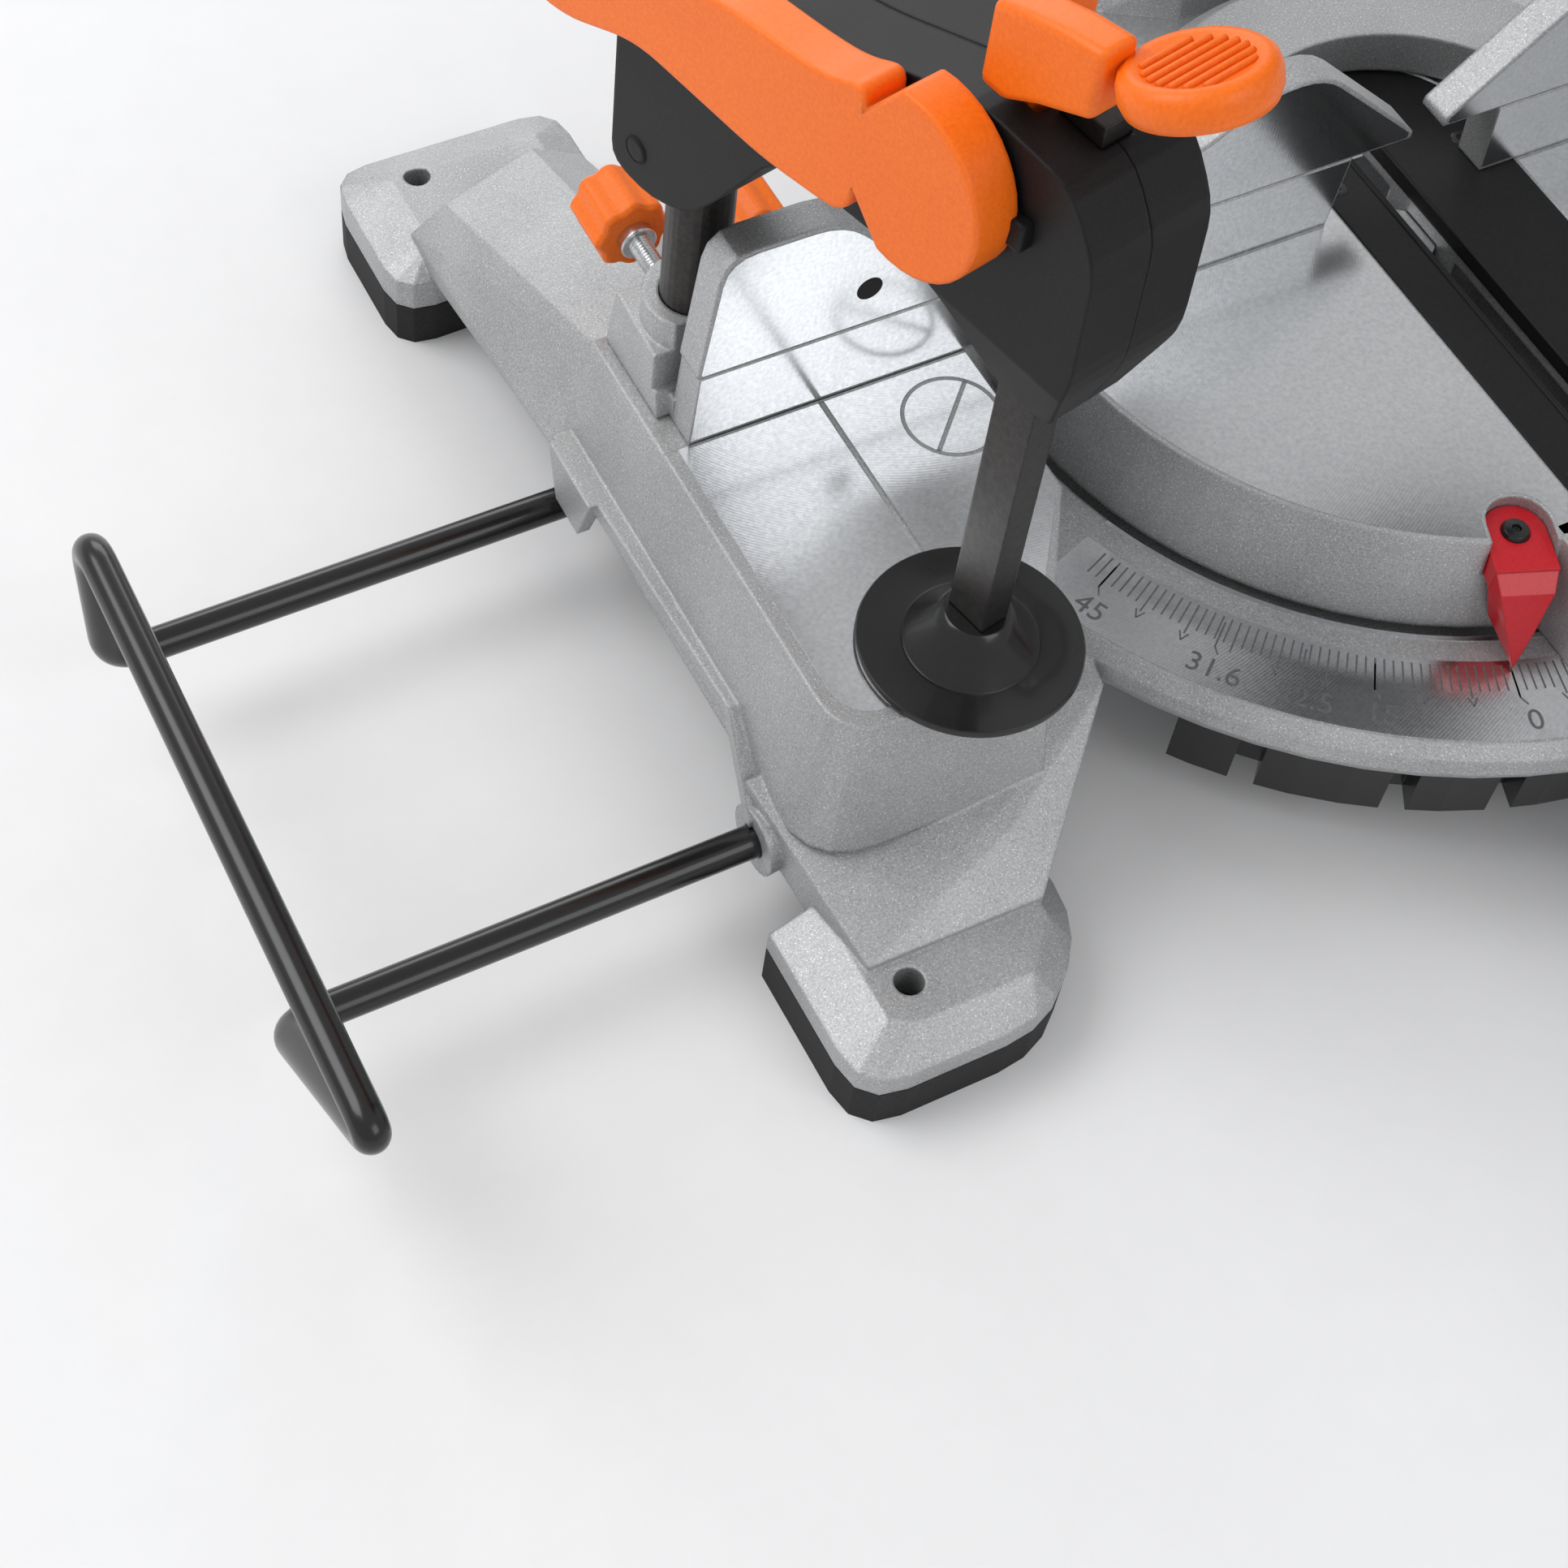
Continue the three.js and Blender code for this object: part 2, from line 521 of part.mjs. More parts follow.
function turntableCasting() {
  const dish = turned([
    [0, 64], [20, 64], [20, 84], [TURN_R - 9, 84], [TURN_BASE_R - 8, 64], [TURN_BASE_R, SCALE_Z + GAP],
    [TURN_R, TABLE_Z], [0, TABLE_Z],
  ], 72);
  const arm = hull([
    [-35, -110, TABLE_Z], [51, -110, TABLE_Z], [-31, ARM_END + 6, TABLE_Z], [49, ARM_END + 6, TABLE_Z],
    [-37, -110, SCALE_Z + GAP], [54, -110, SCALE_Z + GAP], [-33, ARM_END, SCALE_Z + GAP],
    [51, ARM_END, SCALE_Z + GAP],
  ]);
  const nose = hull([
    [-34, -186, 66], [34, -186, 66], [-29, ARM_END, 66], [29, ARM_END, 66],
    [-31, -190, 42], [31, -190, 42], [-26, ARM_END, 42], [26, ARM_END, 42],
  ]);
  const saddle = hull([
    [-22, 100, 112], [22, 100, 112], [-58, 140, 112], [58, 140, 112], [-60, 150, 112], [60, 150, 112],
    [-22, 98, 84], [22, 98, 84], [-60, 120, 84], [60, 120, 84], [-60, 150, 70], [60, 150, 70],
  ]);
  const trunnion = uprightXZ([
    [-60, 64], [60, 64], [60, TABLE_Z], [52, 126], [30, 148], [0, 156], [-30, 148], [-52, 126],
    [-60, TABLE_Z],
  ], TRUNNION_FRONT, TRUNNION_BACK);
  const [low, high] = [INSERT_X - INSERT_HALF - GAP, INSERT_X + INSERT_HALF + GAP];
  const insertBed = box(low, high, INSERT_FRONT - GAP, INSERT_BACK_Y, INSERT_Z, 130);
  const insertEnd = rod('z', INSERT_X, INSERT_BACK_Y, INSERT_Z, 130, INSERT_HALF + GAP, 40);
  const bladeSlot = box(-9, 9, INSERT_FRONT + 2, 40, 60, 100);
  const pointerSeat = join(
    rod('z', 0, -POINTER_SEAT, 84, 110, POINTER_HALF + GAP, 20),
    box(-POINTER_HALF - GAP, POINTER_HALF + GAP, -150, -POINTER_SEAT, 84, 110),
  ).rotateZ(rad(-POINTER_DEG));
  const bore = rod('z', 0, 0, 60, 83, 12 + GAP);
  const tiltBore = rod('y', 0, TABLE_Z, 136, 180, 8 + GAP);
  const stopBore = rod('y', 0, 138, TRUNNION_BACK - 10, 180, 5 + GAP, 20);
  const lockBore = rod('y', 0, 56, ARM_END - 10, -180, 6 + GAP, 20);
  return cut(join(dish, arm, nose, saddle, trunnion), insertBed, insertEnd, bladeSlot, pointerSeat, bore,
    tiltBore, stopBore, lockBore);
}

// The kerf insert: a black plate with a round rear end. Its slot is wider to the right, where the
// tilted blade crosses it.
function kerfInsert() {
  const low = INSERT_Z + GAP;
  const plate = join(
    box(INSERT_X - INSERT_HALF, INSERT_X + INSERT_HALF, INSERT_FRONT, INSERT_BACK_Y, low, TABLE_Z),
    rod('z', INSERT_X, INSERT_BACK_Y, low, TABLE_Z, INSERT_HALF, 40),
  );
  return cut(plate, box(-5, KERF_RIGHT, -255, 38, 80, 100));
}

// The mitre pointer: a seat screwed into the turntable's edge and a faceted nose over the scale.
function mitrePointer() {
  const seat = join(
    rod('z', 0, -POINTER_SEAT, 84 + GAP, 92, POINTER_HALF, 20),
    box(-POINTER_HALF, POINTER_HALF, -138, -POINTER_SEAT, 84 + GAP, 92),
  );
  const nose = hull([
    [-9.5, -137, 92], [9.5, -137, 92], [-9.5, -137, 84.3], [9.5, -137, 84.3], [-8, -143, 87], [8, -143, 87],
    [-6, -137.5, 72], [6, -137.5, 72], [-4, -148, 75], [4, -148, 75], [0, -152, SCALE_Z + 1],
    [0, -140, SCALE_Z + 3],
  ]);
  return join(seat, nose).rotateZ(rad(-POINTER_DEG));
}

// ---------------------------------------------------------------- tilting arm and rails
const SLIDE_KNOB_Y = (BEARING_FRONT + BEARING_BACK) / 2;

function tiltArm() {
  const hub = rod('y', 0, TABLE_Z, TRUNNION_BACK + GAP, 212, 31, 40);
  const column = hull([
    [-30, TRUNNION_BACK + GAP, 112], [30, TRUNNION_BACK + GAP, 112], [-30, 212, 112], [30, 212, 112],
    [-34, 200, 190], [34, 200, 190], [-34, 250, 190], [34, 250, 190],
  ]);
  const neck = hull([
    [-34, 200, 188], [34, 200, 188], [-34, 250, 188], [34, 250, 188],
    [-46, BEARING_FRONT, 240], [46, BEARING_FRONT, 240], [-46, BEARING_BACK, 240], [46, BEARING_BACK, 240],
  ]);
  const housing = uprightXZ([
    [-52, 238], [52, 238], [56, 246], [56, 278], [48, 286], [-48, 286], [-56, 278], [-56, 246],
  ], BEARING_FRONT, BEARING_BACK);
  const bores = [-1, 1].map((side) => rod('y', side * RAIL_X, RAIL_Z, 230, 345, RAIL_R + GAP, 32));
  const tiltBore = rod('y', 0, TABLE_Z, 160, 220, 8 + GAP);
  const knobBore = rod('x', SLIDE_KNOB_Y, RAIL_Z, 42, 60, 5);
  const stopBore = rod('y', 0, 138, 160, 260, 5 + GAP, 20);
  return cut(join(hub, column, neck, housing), ...bores, tiltBore, knobBore, stopBore);
}

const rail = (side) => rod('y', side * RAIL_X, RAIL_Z, RAIL_FRONT, REAR_REACH - 10, RAIL_R, 28);

// The bracket at the rails' front ends carries the chop pivot between two ears.
function headBracket() {
  const block = box(-52, 52, RAIL_FRONT - 8, BEARING_FRONT - 24, 242, 281);
  const ear = (side) => uprightYZ([
    [PIVOT_Y - 30, 279], [PIVOT_Y + 9, 279], [PIVOT_Y + 17, PIVOT_Z], [PIVOT_Y + 12, PIVOT_Z + 12],
    [PIVOT_Y, PIVOT_Z + 17], [PIVOT_Y - 12, PIVOT_Z + 12], [PIVOT_Y - 18, PIVOT_Z],
  ], side < 0 ? -44 : 32, side < 0 ? -32 : 44);
  const bores = [-1, 1].map(
    (side) => rod('y', side * RAIL_X, RAIL_Z, RAIL_FRONT - GAP, 300, RAIL_R + GAP, 28),
  );
  const pinBore = rod('x', PIVOT_Y, PIVOT_Z, -60, 60, 7 + GAP);
  const lockBore = rod('x', PIVOT_Y + 5, PIVOT_Z - 20, -60, 0, 4 + GAP, 16);
  return cut(join(block, ear(-1), ear(1)), ...bores, pinBore, lockBore);
}

function railEndPlate() {
  const plate = uprightXZ([
    [-48, 246], [48, 246], [52, 252], [52, 272], [48, 278], [-48, 278], [-52, 272], [-52, 252],
  ], REAR_REACH - 22, REAR_REACH);
  const bores = [-1, 1].map(
    (side) => rod('y', side * RAIL_X, RAIL_Z, REAR_REACH - 40, REAR_REACH - 10 + GAP, RAIL_R + GAP, 28),
  );
  return cut(plate, ...bores);
}

// ---------------------------------------------------------------- saw head (drawn fully down)
const ARBOR = [BLADE_Y, BLADE_Z];
const MOTOR = [BLADE_Y + 30, BLADE_Z + 24];
const GEAR_TEETH = 40;
const PINION_TEETH = 12;
const MODULE = Math.hypot(30, 24) * 2 / (GEAR_TEETH + PINION_TEETH);

// A spur gear about X with flat-topped teeth that leave running backlash.
function spurGear(teeth, low, high, turn, centre) {
  const pitch = (MODULE * teeth) / 2;
  const step = (2 * Math.PI) / teeth;
  const outline = [];
  for (let i = 0; i < teeth; i += 1) {
    const middle = turn + i * step;
    for (const [radius, share] of [[pitch - 1.15 * MODULE, -0.36], [pitch + 0.8 * MODULE, -0.1],
      [pitch + 0.8 * MODULE, 0.1], [pitch - 1.15 * MODULE, 0.36]]) {
      const angle = middle + share * step;
      outline.push([centre[0] + radius * Math.cos(angle), centre[1] + radius * Math.sin(angle)]);
    }
  }
  return uprightYZ(outline, low, high);
}

// Points on an arc in the head's YZ plane; angles are degrees from the front, upwards.
const arc = (radius, from, to, steps) => Array.from({ length: steps + 1 }, (_, i) => {
  const angle = rad(180 - (from + ((to - from) * i) / steps));
  return [BLADE_Y + radius * Math.cos(angle), BLADE_Z + radius * Math.sin(angle)];
});

// A guard of C section round the blade between two angles.
function guardShell(inner, outer, from, to, left, right, skin, hubRadius) {
  const sector = (radius, hub) => [...arc(radius, from, to, 30), ...arc(hub, to, from, 12)];
  const blank = uprightYZ(sector(outer, hubRadius), left, right);
  const room = uprightYZ([...arc(inner, from - 4, to + 4, 30), ...arc(hubRadius - 4, to + 4, from - 4, 12)],
    left + skin, right - skin);
  return cut(blank, room);
}

function bladeDisc() {
  const teeth = 48;
  const step = (2 * Math.PI) / teeth;
  const outline = [];
  for (let i = 0; i < teeth; i += 1) {
    for (const [depth, share] of [[0, 0], [6, 0.22], [1.5, 0.85]]) {
      const angle = (i + share) * step;
      outline.push([(BLADE_R - depth) * Math.cos(angle), (BLADE_R - depth) * Math.sin(angle)]);
    }
  }
  const disc = uprightYZ(outline.map(([y, z]) => [y + BLADE_Y, z + BLADE_Z]), -1.1, 1.1);
  return cut(disc, rod('x', ...ARBOR, -5, 5, 8, 24));
}

function gearCase() {
  const drumY = BLADE_Y + 10;
  const drumZ = BLADE_Z + 8;
  const drum = rod('x', drumY, drumZ, 17, 50, 52, 40);
  const link = hull([
    [-26, PIVOT_Y - 6, PIVOT_Z - 13], [26, PIVOT_Y - 6, PIVOT_Z - 13], [-26, PIVOT_Y - 6, PIVOT_Z + 13],
    [26, PIVOT_Y - 6, PIVOT_Z + 13], [18, 20, 205], [44, 20, 205], [18, 20, 275], [44, 20, 275],
    [18, 150, 262], [44, 150, 262], [18, 150, 306], [44, 150, 306],
  ]);
  const knuckle = rod('x', PIVOT_Y, PIVOT_Z, -30, 30, 16, 28);
  const motorFlange = rod('x', ...MOTOR, 46, 58, 47, 40);
  const guardRoom = rod('x', ...ARBOR, -40, 17.1, 141, 60);
  const cavity = rod('x', drumY, drumZ, 20, 46, 46, 40);
  const arborHole = rod('x', ...ARBOR, 0, 60, 9 + GAP, 24);
  const motorHole = rod('x', ...MOTOR, 40, 70, 12 + GAP, 24);
  const pinBore = rod('x', PIVOT_Y, PIVOT_Z, -60, 60, 7 + GAP, 24);
  return cut(join(drum, link, knuckle, motorFlange), guardRoom, cavity, arborHole, motorHole, pinBore);
}

// Motor housing: an open-ended barrel closed by a vented cap.
function motorBarrel() {
  const [y, z] = MOTOR;
  return cut(rod('x', y, z, 58 + GAP, 158, 47, 40, 44), rod('x', y, z, 50, 170, 39, 32));
}

function motorCap() {
  const [y, z] = MOTOR;
  const dome = rod('x', y, z, 158 + GAP, 190, 44, 40, 34);
  const vents = [];
  for (let i = 0; i < 8; i += 1) {
    const vent = box(180, 195, -2, 2, 18, 29).applyMatrix4(new THREE.Matrix4().makeRotationX(rad(45 * i)));
    vents.push(vent.translate(0, y, z));
  }
  return cut(dome, rod('x', y, z, 150, 180, 34, 28, 28), ...vents);
}

// D handle on top of the guard, split down the middle.
function handleShell(side) {
  const low = side < 0 ? -17 : GAP / 2;
  const high = side < 0 ? -GAP / 2 : 17;
  const at = (y, z) => [BLADE_Y + y, BLADE_Z + z];
  const body = uprightYZ(softened([
    at(-109, 87), at(-165, 103), at(-194, 118), at(-203, 147), at(-185, 169), at(-150, 175),
    at(-110, 172), at(-70, 162), [...at(-31, 147), 0], [...at(-35, 137), 0], [...at(-60, 60), 0],
  ], 18), low, high);
  const opening = uprightYZ(softened([
    at(-108, 110), at(-146, 120), at(-171, 131), at(-173, 149), at(-157, 152), at(-121, 150), at(-82, 138),
  ], 7), -20, 20);
  const guardRoom = rod('x', ...ARBOR, -20, 20, 140.3, 60);
  const triggerSlot = box(-6, 6, BLADE_Y - 159, BLADE_Y - 117, BLADE_Z + 140, BLADE_Z + 166);
  const buttonBore = rod('x', BLADE_Y - 97, BLADE_Z + 157, -20, -9, 5 + GAP, 16);
  return cut(body, opening, guardRoom, triggerSlot, buttonBore);
}

const switchParts = {
  trigger: () => hull([-5, 5].flatMap((x) => [
    [x, BLADE_Y - 155, BLADE_Z + 158], [x, BLADE_Y - 121, BLADE_Z + 158], [x, BLADE_Y - 155, BLADE_Z + 146],
    [x, BLADE_Y - 121, BLADE_Z + 146], [x, BLADE_Y - 148, BLADE_Z + 141], [x, BLADE_Y - 130, BLADE_Z + 141],
  ])),
  button: () => rod('x', BLADE_Y - 97, BLADE_Z + 157, -21, -13, 5, 16),
};

// Dust outlet on the left of the guard: a short elbow that opens to the back.
function dustOutlet() {
  const [y, z] = [BLADE_Y + 95, 300];
  const spout = rod('y', -40, z, y, y + 70, 18, 28);
  const throat = hull([
    [-50, y, z - 14], [-50, y, z + 14], [-50, y + 24, z - 14], [-50, y + 24, z + 14],
    [-20 - GAP, y, z - 12], [-20 - GAP, y, z + 14], [-20 - GAP, y + 24, z - 12], [-20 - GAP, y + 24, z + 14],
  ]);
  const bore = rod('y', -40, z, y + 4, y + 80, 15, 24);
  const inlet = box(-40, -10, y + 5, y + 19, z - 8, z + 8);
  return cut(join(spout, throat), bore, inlet);
}

// Motor internals, all about the motor axis.
const aboutMotor = (geometry) => geometry.rotateY(Math.PI / 2).translate(0, ...MOTOR);
const motorInside = {
  shaft: () => join(
    rod('x', ...MOTOR, 23, 172, 5, 16),
    spurGear(PINION_TEETH, 24, 34, gearPhase, MOTOR),
  ),
  core: () => aboutMotor(ring(5.3, 26, 75, 135, 32)),
  field: () => aboutMotor(ring(29, 38.5, 80, 132, 32)),
};
const gearAngle = Math.atan2(MOTOR[1] - ARBOR[1], MOTOR[0] - ARBOR[0]);
const gearPhase = gearAngle + Math.PI + Math.PI / PINION_TEETH;

const arborParts = {
  blade: bladeDisc,
  spindle: () => rod('x', ...ARBOR, -8, 42, 7.7, 24),
  gear: () => cut(spurGear(GEAR_TEETH, 24, 34, gearAngle, ARBOR), rod('x', ...ARBOR, 20, 40, 8 + GAP, 24)),
  innerFlange: () => ring(8, 20, 1.4, 8, 28).rotateY(Math.PI / 2).translate(0, ...ARBOR),
  outerFlange: () => ring(8, 20, -8, -1.4, 28).rotateY(Math.PI / 2).translate(0, ...ARBOR),
  bolt: () => join(rod('x', ...ARBOR, -16, -8 - GAP, 7.5, 6), rod('x', ...ARBOR, -11, -8 - GAP, 10, 20)),
};

// ---------------------------------------------------------------- assembly
const saw = new THREE.Group();
saw.position.y = (FRONT_REACH - REAR_REACH) / 2;

function place(parent, name, geometry, material) {
  const mesh = new THREE.Mesh(geometry, material);
  mesh.name = name;
  parent.add(mesh);
}

const base = new THREE.Group();
saw.add(base);
place(base, 'base_casting', baseCasting(), castAluminium);
for (const [side, flip] of [['left', (g) => g], ['right', mirrorX]]) {
  place(base, `foot_pad_front_${side}`, flip(slab(FRONT_PAD, 0, FOOT_H)), rubber);
  place(base, `foot_pad_rear_${side}`, flip(slab(REAR_PAD, 0, FOOT_H)), rubber);
  place(base, `extension_wire_${side}`, flip(extensionWire()), blackSteel);
  place(base, `upper_fence_${side}`, flip(upperFence()), castAluminium);
  place(base, `fence_lock_knob_${side}`, flip(handScrew(-203, 120, 20.2, 46, 64, 11)), orangePlastic);
}
place(base, 'detent_ring', detentRing(), blackSteel);
place(base, 'fence_casting', fenceCasting(), castAluminium);
place(base, 'post_lock_knob', handScrew(POST[0], 115, POST[1] + POST_R + GAP, 66, 86, 12), orangePlastic);
place(base, 'mitre_pivot_bolt', join(
  rod('z', 0, 0, 42, 82.5, 12),
  rod('z', 0, 0, 36, 45.7, 20, 6),
), zincSteel);

const clamp = new THREE.Group();
clamp.position.set(POST[0], POST[1], 0);
clamp.rotation.z = ARM_ANGLE;
saw.add(clamp);
place(clamp, 'clamp_post', clampParts.post(), blackSteel);
place(clamp, 'clamp_housing_left', clampHousing(-1), blackPlastic);
place(clamp, 'clamp_housing_right', clampHousing(1), blackPlastic);
place(clamp, 'clamp_bar', clampParts.bar(), blackSteel);
place(clamp, 'clamp_pad', clampParts.pad(), blackSteel);
place(clamp, 'clamp_lever', clampLever(), orangePlastic);
place(clamp, 'clamp_lever_pin', clampParts.pin(), zincSteel);
place(clamp, 'clamp_release_tab', releaseTab(), orangePlastic);
place(clamp, 'clamp_grip_plate', clampParts.gripPlate(), zincSteel);

const table = new THREE.Group();
saw.add(table);
place(table, 'turntable', turntableCasting(), castAluminium);
place(table, 'kerf_insert', kerfInsert(), blackPlastic);
place(table, 'mitre_pointer', mitrePointer(), redPlastic);
place(table, 'mitre_lock_knob', join(
  rod('y', 0, 56, -300, -184, 6, 16),
  rod('y', 0, 56, -290, ARM_END - GAP, 11, 20),
  lobedKnob(20, 0, 43, 6, 3).rotateX(-Math.PI / 2).translate(0, -FRONT_REACH, 56),
), blackPlastic);
place(table, 'detent_lever', hull([-10, 10].flatMap((x) => [
  [x, ARM_END - 38, 84], [x, ARM_END - GAP, 82], [x, ARM_END - 38, 87], [x, ARM_END - GAP, 89],
])), blackPlastic);
place(table, 'tilt_arm', tiltArm(), castAluminium);
place(table, 'tilt_bolt', rod('y', 0, TABLE_Z, 137, 212, 8), zincSteel);
place(table, 'tilt_lock_lever', join(
  rod('y', 0, TABLE_Z, 212 + GAP, 236, 11, 20),
  hull([
    [6, 224, 90], [6, 236, 90], [6, 224, 102], [6, 236, 102],
    [80, 226, 92], [80, 236, 92], [80, 226, 104], [80, 236, 104],
  ]),
), blackPlastic);
place(table, 'tilt_stop_pin', join(
  rod('y', 0, 138, TRUNNION_BACK + 1, 250, 5, 16),
  rod('y', 0, 138, 246, 258, 9, 20),
), zincSteel);
place(table, 'slide_lock_knob', join(
  rod('x', SLIDE_KNOB_Y, RAIL_Z, RAIL_X + RAIL_R + 0.7, 64, 4.6, 16),
  lobedKnob(14, 60, 78, 6, 2).rotateY(Math.PI / 2).translate(0, SLIDE_KNOB_Y, RAIL_Z),
), blackPlastic);
place(table, 'rail_left', rail(-1), zincSteel);
place(table, 'rail_right', rail(1), zincSteel);
place(table, 'rail_end_plate', railEndPlate(), blackPlastic);
place(table, 'head_bracket', headBracket(), castAluminium);
place(table, 'chop_pivot_pin', rod('x', PIVOT_Y, PIVOT_Z, -52, 62, 7, 24), zincSteel);
const springAlongX = ring(9, 13, 45, 58, 24).rotateY(Math.PI / 2).translate(0, PIVOT_Y, PIVOT_Z);
place(table, 'chop_spring', springAlongX, zincSteel);
place(table, 'head_lock_pin', join(
  rod('x', PIVOT_Y + 5, PIVOT_Z - 20, -58, -31, 4, 16),
  rod('x', PIVOT_Y + 5, PIVOT_Z - 20, -68, -56, 8, 20),
), zincSteel);

const head = new THREE.Group();
head.position.set(0, PIVOT_Y, PIVOT_Z);
head.rotation.x = rad(-CHOP);
saw.add(head);
const inHead = (name, geometry, material) => {
  place(head, name, geometry.translate(0, -PIVOT_Y, -PIVOT_Z), material);
};
inHead('upper_guard', guardShell(136, 140, -10, 190, -20, 16.7, 3, 30), castAluminium);
inHead('lower_guard', guardShell(131, 134, -168, -12, -14, 10.7, 2, 30), smokedPlastic);
inHead('gear_case', gearCase(), castAluminium);
inHead('motor_barrel', motorBarrel(), blackPlastic);
inHead('motor_cap', motorCap(), blackPlastic);
inHead('handle_shell_left', handleShell(-1), blackPlastic);
inHead('handle_shell_right', handleShell(1), blackPlastic);
inHead('trigger', switchParts.trigger(), orangePlastic);
inHead('lock_off_button', switchParts.button(), orangePlastic);
inHead('dust_outlet', dustOutlet(), blackPlastic);
inHead('motor_field', motorInside.field(), copper);
inHead('armature_shaft', motorInside.shaft(), zincSteel);
inHead('armature_core', motorInside.core(), copper);
inHead('blade', arborParts.blade(), bladeSteel);
inHead('arbor_spindle', arborParts.spindle(), zincSteel);
inHead('arbor_gear', arborParts.gear(), zincSteel);
inHead('blade_flange_inner', arborParts.innerFlange(), zincSteel);
inHead('blade_flange_outer', arborParts.outerFlange(), zincSteel);
inHead('blade_bolt', arborParts.bolt(), zincSteel);

export default saw;
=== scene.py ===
import json
import math

import bmesh
import bpy
from mathutils import Matrix, Vector


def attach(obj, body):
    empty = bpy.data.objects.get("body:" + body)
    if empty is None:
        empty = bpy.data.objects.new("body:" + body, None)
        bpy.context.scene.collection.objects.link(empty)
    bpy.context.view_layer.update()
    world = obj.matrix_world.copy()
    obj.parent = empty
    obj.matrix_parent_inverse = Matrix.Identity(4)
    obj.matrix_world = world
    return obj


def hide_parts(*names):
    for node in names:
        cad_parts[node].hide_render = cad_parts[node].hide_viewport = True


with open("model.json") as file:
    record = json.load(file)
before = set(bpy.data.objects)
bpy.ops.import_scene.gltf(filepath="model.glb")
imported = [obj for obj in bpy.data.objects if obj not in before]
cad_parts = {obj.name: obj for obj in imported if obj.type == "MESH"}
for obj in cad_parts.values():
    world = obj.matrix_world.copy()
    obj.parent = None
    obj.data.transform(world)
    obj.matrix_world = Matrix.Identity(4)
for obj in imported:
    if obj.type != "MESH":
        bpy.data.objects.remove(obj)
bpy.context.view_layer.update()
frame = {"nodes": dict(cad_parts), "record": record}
NODES = frame["nodes"]

# ------------------------------------------------------------------ places shared with the solids
MITRE_Y = -109.5  # the mitre axis in the row frame
TABLE_Z = 96.0  # top of the tables and the turntable
SCALE_Z = 63.0  # top of the scale's flange
FENCE_Y = 3.75  # front face of the fences
ZERO = 20.15  # the pointer and the scale's zero, in degrees to the left of straight ahead
POINTER_SEAT = 124.0  # radius at which the pointer is screwed on
POINTER_Z = 92.2  # top of the pointer's tab
POST = (-233.5, 30.0)  # the clamp's post
BAR = (-207.5, -89.0)  # the clamp's bar
ALONG = Vector((BAR[0] - POST[0], BAR[1] - POST[1], 0)).normalized()
RIGHT = Vector((-ALONG.y, ALONG.x, 0))
HOUSING_SIDE = -17.9  # left face of the clamp's housing, across the arm
PIVOT = (235.0, 310.0)  # the head's pivot, as y and z
ARBOR = (-18.0, 215.0)  # the blade's axis with the head down, as y and z
CHOP = math.radians(52)  # how far the head is raised at rest


def metres(x, y, z):
    """Millimetres from the mitre axis and the floor to the row frame in metres."""
    return Vector((x, y + MITRE_Y, z)) / 1000


def clamp_point(s, w, z):
    """A point in the clamp's own frame: along the arm, to its right, and up."""
    at = Vector((POST[0], POST[1], 0)) + ALONG * s + RIGHT * w
    return metres(at.x, at.y, z)


def head_point(x, y, z):
    """A point of the saw head, given with the head fully down, at rest (raised)."""
    cos, sin = math.cos(-CHOP), math.sin(-CHOP)
    y, z = y - PIVOT[0], z - PIVOT[1]
    return metres(x, PIVOT[0] + y * cos - z * sin, PIVOT[1] + y * sin + z * cos)


def upright(x, z, y):
    """The place of an outline seen from the front, with its thickness along y."""
    return metres(x, y, z)


def clamp_side(s, z, w):
    """The place of an outline seen from the clamp's side, with its thickness across the arm."""
    return clamp_point(s, w, z)


def above(x, y, z):
    """The place of a turned piece that stands on a point."""
    return lambda a, b, h: metres(x + a, y + b, z + h)


# ------------------------------------------------------------------ materials
def node(tree, kind, **sockets):
    """A shader node with some inputs set; an underscore in a name stands for a space."""
    made = tree.nodes.new(kind)
    for key, value in sockets.items():
        made.inputs[key.replace("_", " ")].default_value = value
    return made


def ramp(tree, source, stops):
    """A colour for each value of the source, from (value, colour) stops."""
    made = tree.nodes.new("ShaderNodeValToRGB")
    while len(made.color_ramp.elements) < len(stops):
        made.color_ramp.elements.new(0.5)
    for element, (at, colour) in zip(made.color_ramp.elements, stops):
        element.position = at
        element.color = (*colour, 1)
    tree.links.new(source, made.inputs["Fac"])
    return made.outputs["Color"]


def span(tree, source, low, high):
    """The source's range of 0 to 1 stretched to low to high."""
    made = node(tree, "ShaderNodeMapRange", To_Min=low, To_Max=high)
    tree.links.new(source, made.inputs["Value"])
    return made.outputs["Result"]


def glinting(tree, place, colour, grain, brightness):
    """The colour with painted glints, the small bright crystals of a blasted casting, added to it."""
    cells = node(tree, "ShaderNodeTexVoronoi", Scale=grain * 0.7)
    tree.links.new(place, cells.inputs["Vector"])
    glint = ramp(tree, cells.outputs["Distance"], [(0.05, (brightness,) * 3), (0.22, (0, 0, 0))])
    add = node(tree, "ShaderNodeMixRGB", Fac=1.0)
    add.blend_type = "ADD"
    tree.links.new(colour, add.inputs["Color1"])
    tree.links.new(glint, add.inputs["Color2"])
    return add.outputs["Color"]


